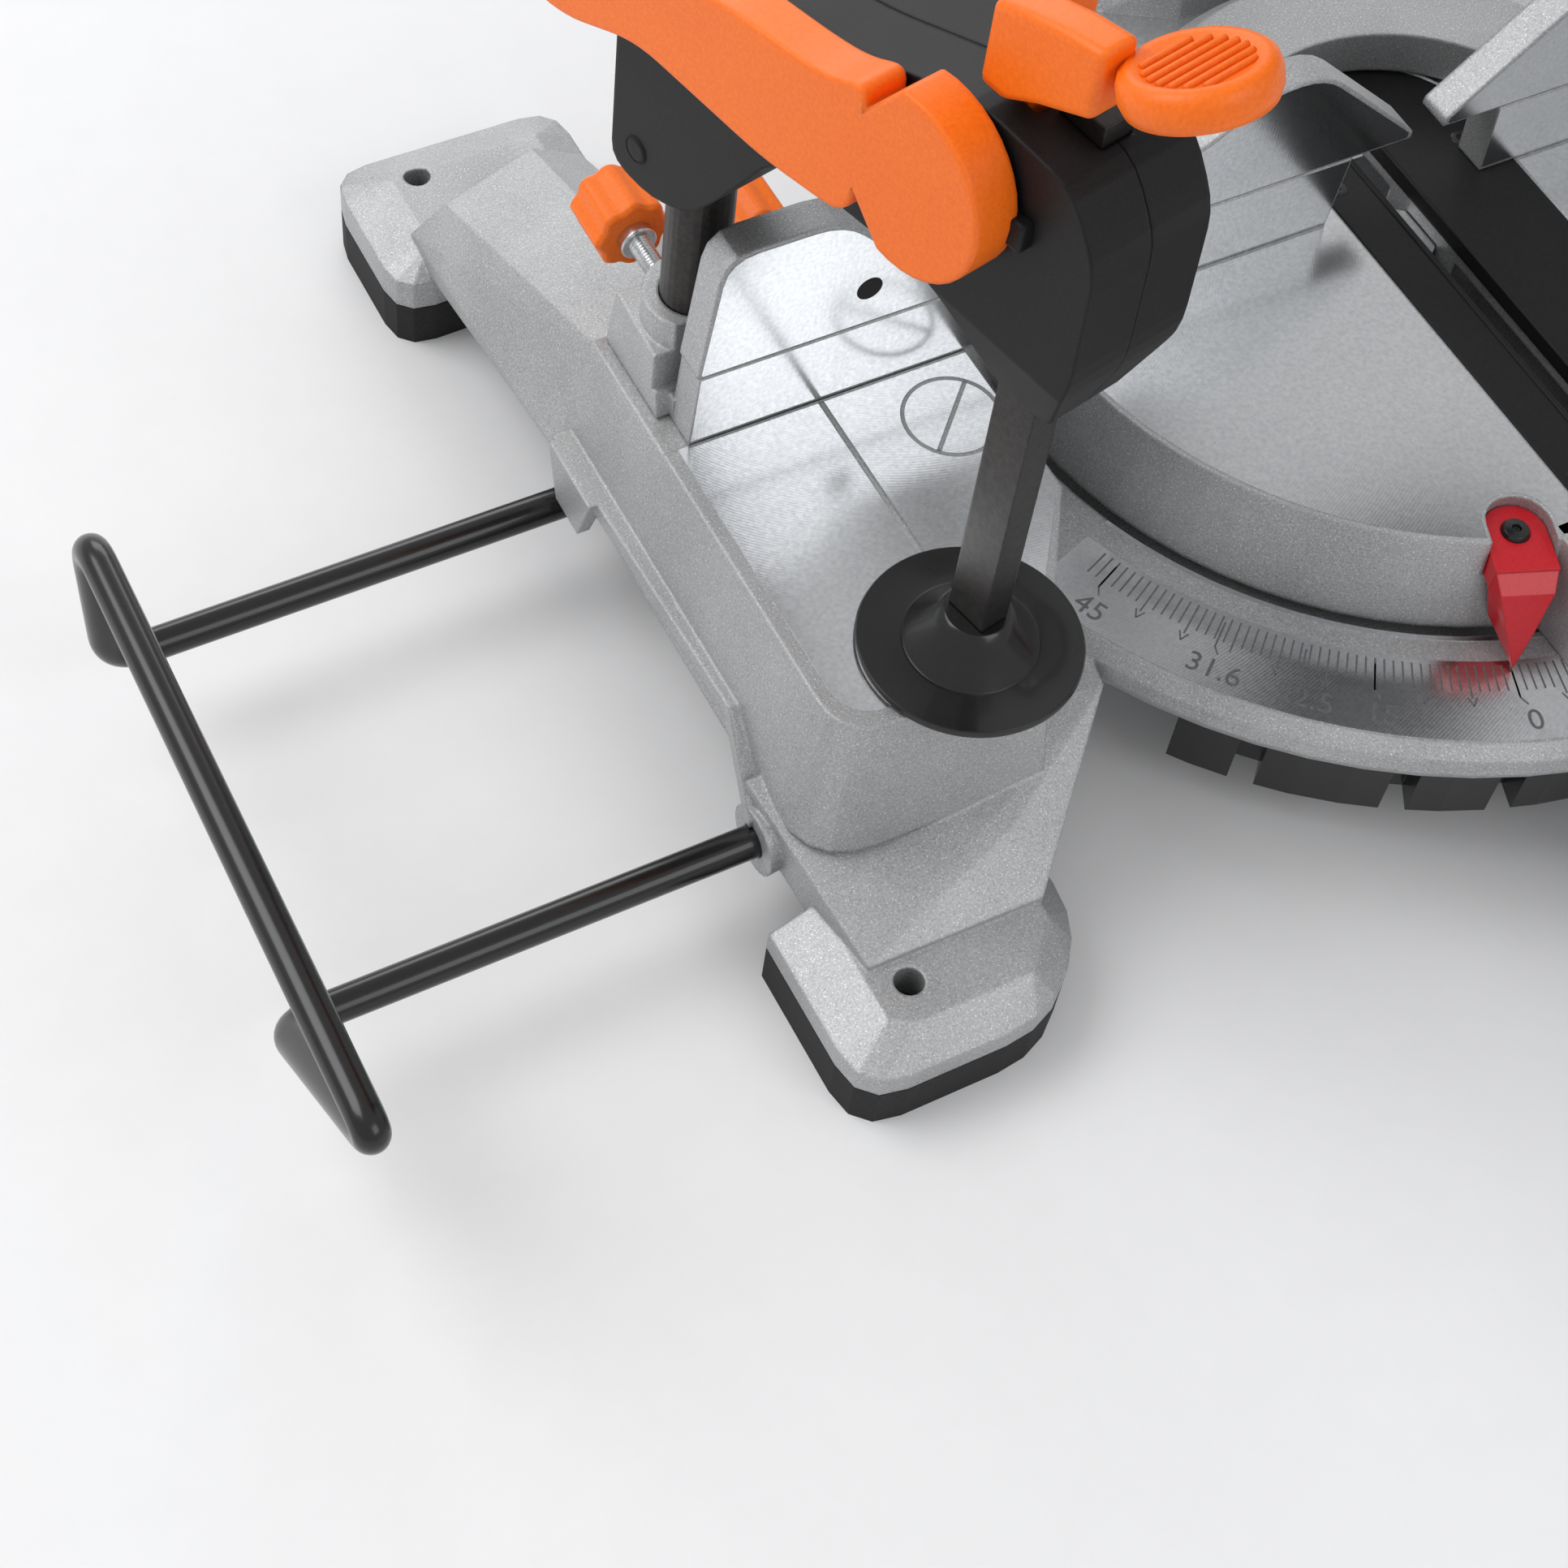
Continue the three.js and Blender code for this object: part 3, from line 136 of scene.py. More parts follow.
def cutter_rings(tree, place, scale):
    """The height of the rings that a cutter leaves on a milled face."""
    rings = node(tree, "ShaderNodeTexWave", Scale=scale, Distortion=0.6, Detail=1.5)
    rings.wave_type = "RINGS"
    rings.rings_direction = "Z"
    shift = node(tree, "ShaderNodeMapping", Location=(0.16, 0.05, 0))
    tree.links.new(place, shift.inputs["Vector"])
    tree.links.new(shift.outputs["Vector"], rings.inputs["Vector"])
    return rings.outputs["Fac"]


def surface(name, dark, light, metallic, rough, grain, bump, edge=0.0008, coat=0.0, blotch=18.0,
            distance=0.00012, sparkle=0.0, swirl=None, specular=0.5):
    """A procedural finish: mottled colour, uneven roughness, fine relief and rounded edges.

    grain and blotch scale the fine and the broad noise, bump and distance are the strength and depth of the
    relief, edge is the radius of the rounded edges in metres, sparkle is the brightness of painted glints on
    crystals, and swirl is the scale of a cutter's rings, which take the place of the grain in the relief.
    """
    made = bpy.data.materials.new(name)
    made.use_nodes = True
    tree = made.node_tree
    shader = tree.nodes["Principled BSDF"]
    place = tree.nodes.new("ShaderNodeTexCoord").outputs["Object"]
    fine = node(tree, "ShaderNodeTexNoise", Scale=grain, Detail=4.0, Roughness=0.65)
    broad = node(tree, "ShaderNodeTexNoise", Scale=blotch, Detail=3.0, Roughness=0.55)
    for texture in (fine, broad):
        tree.links.new(place, texture.inputs["Vector"])
    blend = tree.nodes.new("ShaderNodeMath")
    blend.operation = "MULTIPLY_ADD"
    blend.inputs[1].default_value = 0.7
    tree.links.new(fine.outputs["Fac"], blend.inputs[0])
    tree.links.new(span(tree, broad.outputs["Fac"], 0.0, 0.3), blend.inputs[2])
    colour = ramp(tree, blend.outputs[0], [(0.32, dark), (0.68, light)])
    # painted glints: bright crystal spots added into the base colour
    if sparkle:
        colour = glinting(tree, place, colour, grain, sparkle)
    tree.links.new(colour, shader.inputs["Base Color"])
    shader.inputs["Metallic"].default_value = metallic
    shader.inputs["Specular IOR Level"].default_value = specular
    shader.inputs["Coat Weight"].default_value = coat
    shader.inputs["Coat Roughness"].default_value = 0.08
    tree.links.new(span(tree, broad.outputs["Fac"], *rough), shader.inputs["Roughness"])
    relief = node(tree, "ShaderNodeBump", Strength=bump, Distance=distance)
    height = cutter_rings(tree, place, swirl) if swirl else fine.outputs["Fac"]
    tree.links.new(height, relief.inputs["Height"])
    if edge:
        edges = node(tree, "ShaderNodeBevel", Radius=edge)
        edges.samples = 6
        tree.links.new(edges.outputs["Normal"], relief.inputs["Normal"])
    tree.links.new(relief.outputs["Normal"], shader.inputs["Normal"])
    return made


# the cast aluminium gets painted glints through sparkle
CAST = surface("cast_aluminium", dark=(0.27, 0.275, 0.28), light=(0.56, 0.565, 0.57), metallic=0.6,
               rough=(0.40, 0.52), grain=1500, bump=0.75, edge=0.0016, sparkle=0.5, distance=0.00020)
MILLED = surface("milled_aluminium", dark=(0.60, 0.61, 0.625), light=(0.78, 0.79, 0.80), metallic=1.0,
                 rough=(0.14, 0.26), grain=700, bump=0.05, edge=0, blotch=14, swirl=330, distance=0.00006)
BLACK = surface("black_plastic", dark=(0.006, 0.006, 0.0065), light=(0.013, 0.013, 0.0135), metallic=0.0,
                rough=(0.42, 0.54), grain=1400, bump=0.30, edge=0.0014, specular=0.22)
ORANGE = surface("orange_plastic", dark=(0.84, 0.135, 0.004), light=(0.98, 0.19, 0.008), metallic=0.0,
                 rough=(0.36, 0.46), grain=900, bump=0.12, edge=0.0016, specular=0.35)
RED = surface("red_plastic", dark=(0.46, 0.003, 0.009), light=(0.60, 0.006, 0.016), metallic=0.0,
              rough=(0.24, 0.36), grain=900, bump=0.10, edge=0.0006)
COATED = surface("black_coating", dark=(0.004, 0.004, 0.004), light=(0.009, 0.009, 0.009), metallic=0.0,
                 rough=(0.20, 0.32), grain=700, bump=0.08, edge=0.0006, coat=0.25, specular=0.4)
DARK_STEEL = surface("dark_steel", dark=(0.030, 0.028, 0.027), light=(0.060, 0.056, 0.053), metallic=0.75,
                     rough=(0.28, 0.42), grain=500, bump=0.25)
RUBBER = surface("rubber", dark=(0.010, 0.010, 0.011), light=(0.022, 0.022, 0.023), metallic=0.0,
                 rough=(0.62, 0.78), grain=900, bump=0.30, edge=0.0010, specular=0.3)
ZINC = surface("zinc_steel", dark=(0.52, 0.53, 0.55), light=(0.72, 0.73, 0.74), metallic=1.0,
               rough=(0.16, 0.30), grain=600, bump=0.10, edge=0.0006)
BLADE = surface("blade_steel", dark=(0.46, 0.47, 0.48), light=(0.62, 0.63, 0.64), metallic=1.0,
                rough=(0.24, 0.38), grain=420, bump=0.12, edge=0, swirl=420, distance=0.00005)
SMOKED = surface("smoked_plastic", dark=(0.030, 0.031, 0.033), light=(0.050, 0.051, 0.054), metallic=0.0,
                 rough=(0.12, 0.22), grain=500, bump=0.05, edge=0.0010, coat=0.4)
COPPER = surface("copper", dark=(0.36, 0.14, 0.06), light=(0.56, 0.25, 0.12), metallic=0.9,
                 rough=(0.35, 0.5), grain=1100, bump=0.4, edge=0.0006)
ENGRAVED = surface("engraved_line", dark=(0.13, 0.133, 0.136), light=(0.22, 0.225, 0.23), metallic=0.6,
                   rough=(0.4, 0.5), grain=900, bump=0.2, edge=0)
# painted shade: a near black finish for the shade seen inside the sliding fence's hole
HOLE_SHADE = surface("painted_hole_shade", dark=(0.006, 0.006, 0.006), light=(0.012, 0.012, 0.012), metallic=0.0,
               rough=(0.8, 0.9), grain=900, bump=0.2, edge=0)
FLOOR = surface("studio_floor", dark=(0.80, 0.80, 0.805), light=(0.82, 0.82, 0.825), metallic=0.0,
                rough=(0.75, 0.85), grain=60, bump=0.02, edge=0)

FINISH = {"cast_aluminium": CAST, "black_plastic": BLACK, "orange_plastic": ORANGE, "red_plastic": RED,
          "black_steel": COATED, "rubber": RUBBER, "zinc_steel": ZINC, "blade_steel": BLADE,
          "smoked_plastic": SMOKED, "copper": COPPER}
SPECIAL = {"clamp_bar": DARK_STEEL, "clamp_post": DARK_STEEL}
for entry in frame["record"]["subparts"]:
    solid = NODES[entry["node"]].data
    solid.materials.clear()
    solid.materials.append(SPECIAL.get(entry["node"], FINISH[entry["material_slot"]]))


# ------------------------------------------------------------------ building pieces
def piece(name, mesh, material, body, replaces=(), bevel=0.0, segments=3, smooth=40):
    """A mesh as a piece that rides a body; replaces names the solids it stands in for, bevel is in metres."""
    mesh.name = name
    made = bpy.data.objects.new(name, mesh)
    bpy.context.scene.collection.objects.link(made)
    mesh.materials.append(material)
    if bevel:
        round_off = made.modifiers.new("edges", "BEVEL")
        round_off.width = bevel
        round_off.segments = segments
        round_off.angle_limit = math.radians(35)
    for face in mesh.polygons:
        face.use_smooth = True
    mesh.set_sharp_from_angle(angle=math.radians(smooth))
    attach(made, body)
    if replaces:
        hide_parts(*replaces)
    return made


def mesh_of(points, faces):
    """A mesh with its faces turned outwards."""
    made = bpy.data.meshes.new("mesh")
    made.from_pydata([tuple(point) for point in points], [], faces)
    made.update()
    work = bmesh.new()
    work.from_mesh(made)
    bmesh.ops.recalc_face_normals(work, faces=work.faces)
    work.to_mesh(made)
    work.free()
    return made


def prism(outline, place, low, high):
    """A plate: outline points (a, b) put at place(a, b, c) for c = low and c = high."""
    count = len(outline)
    points = [place(a, b, low) for a, b in outline] + [place(a, b, high) for a, b in outline]
    faces = [list(range(count)), list(range(count, 2 * count))]
    faces += [[i, (i + 1) % count, count + (i + 1) % count, count + i] for i in range(count)]
    return mesh_of(points, faces)


def turned(profile, place, sides=96, radius_of=None):
    """A turned piece: profile points (r, h) carried round the axis and put at place(x, y, h).

    The profile starts and ends on the axis, or closes on itself.
    """
    points, faces, rows = [], [], []
    for r, h in profile:
        if r < 1e-6:
            rows.append([len(points)])
            points.append(place(0, 0, h))
            continue
        row = []
        for i in range(sides):
            angle = 2 * math.pi * i / sides
            reach = radius_of(r, angle) if radius_of else r
            row.append(len(points))
            points.append(place(reach * math.cos(angle), reach * math.sin(angle), h))
        rows.append(row)
    for first, second in zip(rows, rows[1:]):
        for i in range(sides):
            j = (i + 1) % sides
            corners = [(first, i), (first, j), (second, j), (second, i)]
            loop = list(dict.fromkeys(row[at % len(row)] for row, at in corners))
            if len(loop) > 2:
                faces.append(loop)
    return mesh_of(points, faces)


def curve_mesh(curve):
    """A Blender curve or text as a mesh."""
    holder = bpy.data.objects.new("holder", curve)
    bpy.context.scene.collection.objects.link(holder)
    bpy.context.view_layer.update()
    mesh = bpy.data.meshes.new_from_object(holder.evaluated_get(bpy.context.evaluated_depsgraph_get()))
    bpy.data.objects.remove(holder)
    return mesh


def bend(start, corner, end, steps):
    """Points along the curve that rounds off a corner."""
    return [start * (1 - t) ** 2 + corner * 2 * t * (1 - t) + end * t * t
            for t in (k / steps for k in range(steps + 1))]


def tube(path, radius, reach):
    """A round rod along straight runs; each corner is bent from reach before it to reach after it."""
    curve = bpy.data.curves.new("tube", "CURVE")
    curve.dimensions = "3D"
    curve.bevel_depth = radius
    curve.bevel_resolution = 12
    curve.use_fill_caps = True
    points = [path[0]]
    for before, at, after in zip(path, path[1:], path[2:]):
        start = at + (before - at).normalized() * reach
        end = at + (after - at).normalized() * reach
        points += bend(start, at, end, 12)
    points.append(path[-1])
    line = curve.splines.new("POLY")
    line.points.add(len(points) - 1)
    for target, point in zip(line.points, points):
        target.co = (*point, 1)
    return curve_mesh(curve)


def lettering(words, size, depth, place, turn):
    """Raised figures that lie flat at a point, turned about Z; sizes in metres."""
    text = bpy.data.curves.new("lettering", "FONT")
    text.body = words
    text.size = size
    text.align_x = "CENTER"
    text.align_y = "CENTER"
    text.extrude = depth
    mesh = curve_mesh(text)
    mesh.transform(Matrix.Translation(place) @ Matrix.Rotation(turn, 4, "Z"))
    return mesh


def rectangle(a0, a1, b0, b1):
    return [(a0, b0), (a1, b0), (a1, b1), (a0, b1)]


def arc(radius, start, end, steps=48, centre=(0.0, 0.0)):
    """Points along an arc, with its angles in degrees."""
    angles = [math.radians(start + (end - start) * i / steps) for i in range(steps + 1)]
    return [(centre[0] + radius * math.cos(angle), centre[1] + radius * math.sin(angle)) for angle in angles]


def rounded(outline, radii, steps=6):
    """The outline with each corner rounded off, starting up to its radius from the corner."""
    result = []
    count = len(outline)
    if not isinstance(radii, list):
        radii = [radii] * count
    for i in range(count):
        before, at, after = (Vector((*outline[k % count], 0)) for k in (i - 1, i, i + 1))
        back, ahead = before - at, after - at
        reach = min(radii[i], back.length * 0.48, ahead.length * 0.48)
        start, end = at + back.normalized() * reach, at + ahead.normalized() * reach
        result += [(point.x, point.y) for point in bend(start, at, end, steps)]
    return result


def mirrored(outline, sign):
    """The left side's outline for sign 1, and its mirror image for sign -1."""
    return [(sign * x, y) for x, y in outline]


# ------------------------------------------------------------------ milled areas of the base and fence
SKIN = 0.16  # height of a milled area over the casting
SUNK = 0.1  # depth of a milled area in the casting
FENCE_SUNK = 0.15  # the same on the fences
RELIEF = 0.27  # height of a mark, less than the gap under the fence and the clamp pad
TABLE_TOP = [(-249.5, 3.4), (-249.5, -98.5), (-192, -98.5), (-156.4, -50), (-156.4, 3.4)]
TABLE_TOP_RADII = [0.5, 13, 5, 8, 0.5]
TABLE_RIB = rectangle(-205, -203.2, -57, 3)
MARK = (-172, -17)  # middle of the table's mark
MARK_RING = [(13.6, 0), (15.0, 0), (14.9, RELIEF), (13.7, RELIEF), (13.6, 0)]
MARK_BAR = rectangle(-13.9, 13.9, -0.7, 0.7)
MARK_TURN = 0.707  # sine and cosine of the bar's 45 degrees
FENCE_FOOT = [(-245.4, 97.5), (-29.4, 97.5), (-27.6, 122.3), (-243.9, 122.3)]
SLIDING_FACE = [(-244, 124), (-7.5, 124), (-7.5, 126), (-47.8, 161.8), (-65.6, 161.8), (-89, 145.6),
                (-186.6, 148.7), (-204, 166.6), (-238.7, 166.6)]
SLIDING_FACE_RADII = [1, 1, 2, 9, 9, 9, 9, 9, 9]
SLIDING_HOLE = arc(4.0, 0, 360, 28, (-193, 137.6))


def table_finish(side, sign):
    """A table's milled top, the rib across it, and its mark: a ring with a bar."""
    milling = mirrored(rounded(TABLE_TOP, TABLE_TOP_RADII), sign)
    rib = mirrored(rounded(TABLE_RIB, 0.4, 2), sign)
    x, y = sign * MARK[0], MARK[1]
    bar = [(x + a * MARK_TURN - b * MARK_TURN, y + a * MARK_TURN + b * MARK_TURN) for a, b in MARK_BAR]
    piece(f"table_milling_{side}", prism(milling, metres, TABLE_Z - SUNK, TABLE_Z + SKIN), MILLED, "base")
    piece(f"table_rib_{side}", prism(rib, metres, TABLE_Z, TABLE_Z + RELIEF), CAST, "base")
    piece(f"table_mark_ring_{side}", turned(MARK_RING, above(x, y, TABLE_Z), 64), CAST, "base")
    piece(f"table_mark_bar_{side}", prism(bar, metres, TABLE_Z, TABLE_Z + RELIEF), CAST, "base")


def fence_finish(side, sign):
    """The milled faces of the fixed and the sliding fence, and a near black disc of painted shade over the
    hole in the sliding one.
    """
    foot = mirrored(FENCE_FOOT, sign)
    face = mirrored(rounded(SLIDING_FACE, SLIDING_FACE_RADII, 4), sign)
    hole = mirrored(SLIDING_HOLE, sign)
    front, back = FENCE_Y - SKIN, FENCE_Y + FENCE_SUNK
    piece(f"fence_milling_{side}", prism(foot, upright, front, back), MILLED, "base")
    piece(f"sliding_fence_milling_{side}", prism(face, upright, front, back), MILLED,
          f"sliding_fence_{side}")
    # painted shade: a thin near black disc across the sliding fence's hole
    piece(f"sliding_fence_hole_shade_{side}", prism(hole, upright, front - 0.09, FENCE_Y + 0.05), HOLE_SHADE,
          f"sliding_fence_{side}")


for side, sign in (("left", 1), ("right", -1)):
    table_finish(side, sign)
    fence_finish(side, sign)

# ------------------------------------------------------------------ mitre scale
STOPS = (0, 15, 22.5, 31.6, 45)  # the angles that are written on the scale
SCALE_IN, SCALE_OUT = 148.5, 176  # radii of the milled band
SCALE_HALF = 50  # degrees that the band covers to each side of zero
LIP_IN, LIP_OUT = 139.7, 141.2
LIP_HALF = 70  # degrees that the lip covers to each side of straight ahead
TICK_FROM, TICK_TO = 150, 159  # radii of the degree ticks' ends
LONG_TICK_TO = 161.5  # the outer end of every fifth tick
STOP_TICK_FROM = 152
ARROW_FROM, ARROW_TO = 161.2, 164.2  # the arrowheads between the written stops
HOOK_TO = 164.0  # the end of the hook on a written stop's tick
NUMBER_RADIUS = 169.6
NUMBER_SIZE, NUMBER_DEPTH = 0.0098, 0.0001  # metres


def polar(radius, angle):
    """A point on the scale: angle in degrees to the left of straight ahead."""
    return (-radius * math.sin(math.radians(angle)), -radius * math.cos(math.radians(angle)))


def sector(inner, outer, start, end, steps=72):
    """The outline of a ring's sector."""
    angles = [start + (end - start) * i / steps for i in range(steps + 1)]
    return [polar(inner, angle) for angle in angles] + [polar(outer, angle) for angle in reversed(angles)]


def stroke(lines, start, end, width):
    """A line on the scale, added to the mesh of all of them."""
    start, end = Vector((*start, 0)), Vector((*end, 0))
    along = end - start
    across = Vector((-along.y, along.x, 0)).normalized() * width / 2
    corners = [start - across, end - across, end + across, start + across]
    low = [lines.verts.new(metres(c.x, c.y, SCALE_Z + 0.05)) for c in corners]
    high = [lines.verts.new(metres(c.x, c.y, SCALE_Z + SKIN + 0.06)) for c in corners]
    lines.faces.new(low[::-1])
    lines.faces.new(high)
    for i in range(4):
        j = (i + 1) % 4
        lines.faces.new((low[i], low[j], high[j], high[i]))


def degree_ticks(lines):
    """A tick for each degree, longer at every fifth, with an arrowhead where it isn't a fifteenth."""
    for degree in range(-47, 48):
        angle = ZERO + degree
        stroke(lines, polar(TICK_FROM, angle), polar(TICK_TO if degree % 5 else LONG_TICK_TO, angle), 0.55)
        if degree % 5 == 0 and degree % 15:
            for half in (-0.5, 0.5):
                stroke(lines, polar(ARROW_FROM, angle + half), polar(ARROW_TO, angle), 0.5)


def written_stop(lines, stop, sign):
    """A stop's tick with its hook, and its number; sign is 1 to the left of zero."""
    angle = ZERO + sign * stop
    stroke(lines, polar(STOP_TICK_FROM, angle), polar(LONG_TICK_TO, angle), 0.6)
    stroke(lines, polar(LONG_TICK_TO, angle), polar(HOOK_TO, angle - 0.6 * sign), 0.5)
    place = metres(*polar(NUMBER_RADIUS, angle - 0.8 * sign), SCALE_Z + 0.13)
    number = lettering(f"{stop:g}", NUMBER_SIZE, NUMBER_DEPTH, place, math.radians(-angle))
    name = f"scale_number_{'l' if sign > 0 else 'r'}_{stop:g}".replace(".", "_")
    piece(name, number, ENGRAVED, "base")


def scale_lines():
    """All the lines of the scale as one mesh; the numbers are made on the way."""
    lines = bmesh.new()
    degree_ticks(lines)
    for stop in STOPS:
        for sign in (-1, 1) if stop else (1,):
            written_stop(lines, stop, sign)
    mesh = bpy.data.meshes.new("scale_lines")
    lines.to_mesh(mesh)
    lines.free()
    return mesh


milling = sector(SCALE_IN, SCALE_OUT, ZERO - SCALE_HALF, ZERO + SCALE_HALF)
lip = sector(LIP_IN, LIP_OUT, -LIP_HALF, LIP_HALF)
piece("scale_milling", prism(milling, metres, SCALE_Z - SUNK, SCALE_Z + SKIN), MILLED, "base")
piece("scale_lip", prism(lip, metres, SCALE_Z - 0.2, SCALE_Z + 0.22), MILLED, "base")
piece("scale_lines", scale_lines(), ENGRAVED, "base")

# ------------------------------------------------------------------ turntable
INSERT_END = (9.9, 26.5)  # middle of the kerf insert's round end
INSERT_EDGE = 33.4  # radius of the milled top's edge round that end
TOP_RADIUS = 129.4
NOTCH_RADIUS = 129.0  # where the pointer's recess opens
NOTCH_HALF = 10.8  # half the recess's width
ARM_MILLING = {"left": (-33.5, -23.6), "right": (43.4, 48)}  # x of the milled strips beside the insert
ARM_BACK, ARM_FRONT = -122, -266
RIB_X, RIB_BACK, RIB_FRONT = 6.5, 34, -252  # the ribs along the saw's slot
INSERT_SCREWS = ((32.4, 18), (-17, 15), (32.4, -110), (-17, -110), (32.4, -235), (-17, -235))
INSERT_SCREW = [(0, -0.3), (1.2, -0.3), (1.6, RELIEF), (3.0, RELIEF), (3.4, 0.1), (3.4, -0.6), (0, -0.6)]
POINTER_SCREW = [(0, 0.3), (1.1, 0.3), (1.5, 1.5), (3.6, 1.2), (4.4, 0), (4.4, -0.4), (0, -0.4)]


def pointer_notch():
    """The edge of the pointer's recess, from its right side round to its left."""
    turn = Matrix.Rotation(math.radians(-ZERO), 2)
    local = [(NOTCH_HALF, -NOTCH_RADIUS)] + arc(NOTCH_HALF, 0, 180, 18, (0, -POINTER_SEAT))
    local.append((-NOTCH_HALF, -NOTCH_RADIUS))
    return [tuple(turn @ Vector(point)) for point in local]


def turntable_top(sign):
    """The milled top on one side of the insert, from the front arm round to the back."""
    edge = INSERT_END[0] + sign * INSERT_EDGE
    start = math.degrees(math.atan2(-math.sqrt(TOP_RADIUS ** 2 - edge ** 2), edge))
    inner = arc(INSERT_EDGE, 90, 0 if sign > 0 else 180, 24, INSERT_END)
    if sign > 0:
        return arc(TOP_RADIUS, start, 90, 90) + inner
    middle = 270 - ZERO
    spread = math.degrees(math.asin(NOTCH_HALF / TOP_RADIUS))
    return (arc(TOP_RADIUS, start % 360, middle + spread, 6) + pointer_notch()
            + arc(TOP_RADIUS, middle - spread, 90, 90) + inner)


for side, sign in (("left", -1), ("right", 1)):
    top = prism(turntable_top(sign), metres, TABLE_Z - SUNK, TABLE_Z + SKIN)
    piece(f"turntable_milling_{side}", top, MILLED, "mitre_table")
for side, (x0, x1) in ARM_MILLING.items():
    outline = [(x0, ARM_BACK), (x1, ARM_BACK), (x1, ARM_FRONT), (x0 + 2, ARM_FRONT)]
    strip = prism(outline, metres, TABLE_Z - SUNK, TABLE_Z + SKIN)
    piece(f"arm_milling_{side}", strip, MILLED, "mitre_table")
for side, x in (("left", -RIB_X), ("right", RIB_X)):
    outline = rounded(rectangle(x - 0.6, x + 0.6, RIB_FRONT, RIB_BACK), 0.5, 2)
    rib = prism(outline, metres, TABLE_Z - 0.2, TABLE_Z + RELIEF)
    piece(f"insert_rib_{side}", rib, BLACK, "mitre_table")
for index, (x, y) in enumerate(INSERT_SCREWS):
    piece(f"insert_screw_{index}", turned(INSERT_SCREW, above(x, y, TABLE_Z), 28), COATED, "mitre_table")
piece("pointer_screw", turned(POINTER_SCREW, above(*polar(POINTER_SEAT, ZERO), POINTER_Z), 32), COATED,
      "mitre_table")

# ------------------------------------------------------------------ extension wires
WIRE_RADIUS = 4.98  # just inside the solid's 5 mm
WIRE_BEND = 12.5
WIRE_IN, WIRE_OUT = 168, 409
WIRE_BACK, WIRE_FRONT, WIRE_TIP = 45, -87.5, -157.5
WIRE_LOW, WIRE_HIGH = 33, 91
for side, sign in (("left", -1), ("right", 1)):
    path = [metres(sign * WIRE_IN, WIRE_BACK, WIRE_LOW), metres(sign * WIRE_OUT, WIRE_BACK, WIRE_LOW),
            metres(sign * WIRE_OUT, WIRE_BACK, WIRE_HIGH), metres(sign * WIRE_OUT, WIRE_TIP, WIRE_HIGH),
            metres(sign * WIRE_OUT, WIRE_FRONT, WIRE_LOW), metres(sign * WIRE_IN, WIRE_FRONT, WIRE_LOW)]
    wire = tube(path, WIRE_RADIUS / 1000, WIRE_BEND / 1000)
    piece(f"extension_bow_{side}", wire, COATED, f"extension_{side}",
          (f"extension_wire_{side}",))

# ------------------------------------------------------------------ clamp
PAD = [(0, 96.4), (30.5, 96.4), (31.4, 97.0), (31.4, 98.0), (30.9, 98.9), (19.4, 98.7), (18.6, 98.9),
       (17.4, 100.4), (11.2, 108.2), (9.6, 111.2), (8.8, 111.7), (0, 111.7)]
LEVER_PIVOT = (98, 267)  # along the arm and up
LEVER_HUB = 24.3  # radius of the lever's round end
LEVER_GRIP = [(84, 284.6), (72, 278.0), (60, 275.6), (34, 272.5), (8, 261.5), (-30, 242), (-45.5, 232.2),
              (-40, 226.4), (-22, 227), (6, 239.2), (54, 239.2), (84, 244)]
HOUSING_BOSSES = ((-7, 186, 4.2), (-8, 238, 3.4), (30, 232, 3.6))  # along the arm, up, and radius


def housing_boss(s, z, size):
    """A screw boss on the housing's left side: a disc with a groove inside its rim."""
    profile = [(0, 0.5), (size - 1.1, 0.5), (size - 0.7, 0.15), (size - 0.3, 0.5), (size, 0.2), (size, -0.5),
               (0, -0.5)]
    return turned(profile, lambda a, b, h: clamp_point(s + a, HOUSING_SIDE - h, z + b), 36)


piece("clamp_foot", turned(PAD, above(*BAR, 0), 128), COATED, "pad", ("clamp_pad",), smooth=32)
lever = arc(LEVER_HUB, -100, 100, 20, LEVER_PIVOT) + rounded(LEVER_GRIP, 9, 5)
piece("squeeze_lever", prism(lever, clamp_side, -31.8, -19.2), ORANGE, "lever",
      ("clamp_lever",), bevel=0.0022, segments=4)
piece("housing_peg", prism(rectangle(118, 126, 262, 270), clamp_side, -21.5, -17.5), BLACK, "clamp",
      bevel=0.0008)
for index, boss in enumerate(HOUSING_BOSSES):
    piece(f"housing_boss_{index}", housing_boss(*boss), BLACK, "clamp")

# ------------------------------------------------------------------ release tab
TAB_TILT = math.radians(24)
TAB_MIDDLE = (147, -3, 319)  # along the arm, across it, and up
THUMB_PAD = [(0, 3.7), (11.5, 3.7), (12.8, 4.6), (14.4, 4.9), (16.2, 3.6), (16.9, 1.4), (16.9, -1.8),
             (16.0, -4.2), (13.6, -5.3), (0, -5.3)]
RIDGE_CIRCLE = 11.6  # the ridges end on this radius
TAB_ARM = [(101.2, 292), (109.8, 292), (118, 297), (133, 304), (133, 322), (121, 320), (109, 316.8),
           (101.2, 313.8)]
TAB_BLOCK = [(101.2, 291.2), (109.8, 291.2), (109.8, 316.6), (101.2, 313.8)]


def tab_point(a, b, h):
    """A point on the tilted thumb pad: along the arm, to its right, and off its face."""
    s, w, z = TAB_MIDDLE
    cos, sin = math.cos(TAB_TILT), math.sin(TAB_TILT)
    return clamp_point(s + a * cos - h * sin, w + b, z + a * sin + h * cos)


def thumb_ridge(along):
    """A ridge across the thumb pad, at a distance along it from its middle."""
    reach = math.sqrt(RIDGE_CIRCLE ** 2 - along ** 2)
    section = [(along - 1.0, 3.4), (along - 0.5, 4.7), (along + 0.5, 4.7), (along + 1.0, 3.4)]
    return prism(section, lambda a, h, b: tab_point(a, b, h), -reach, reach)


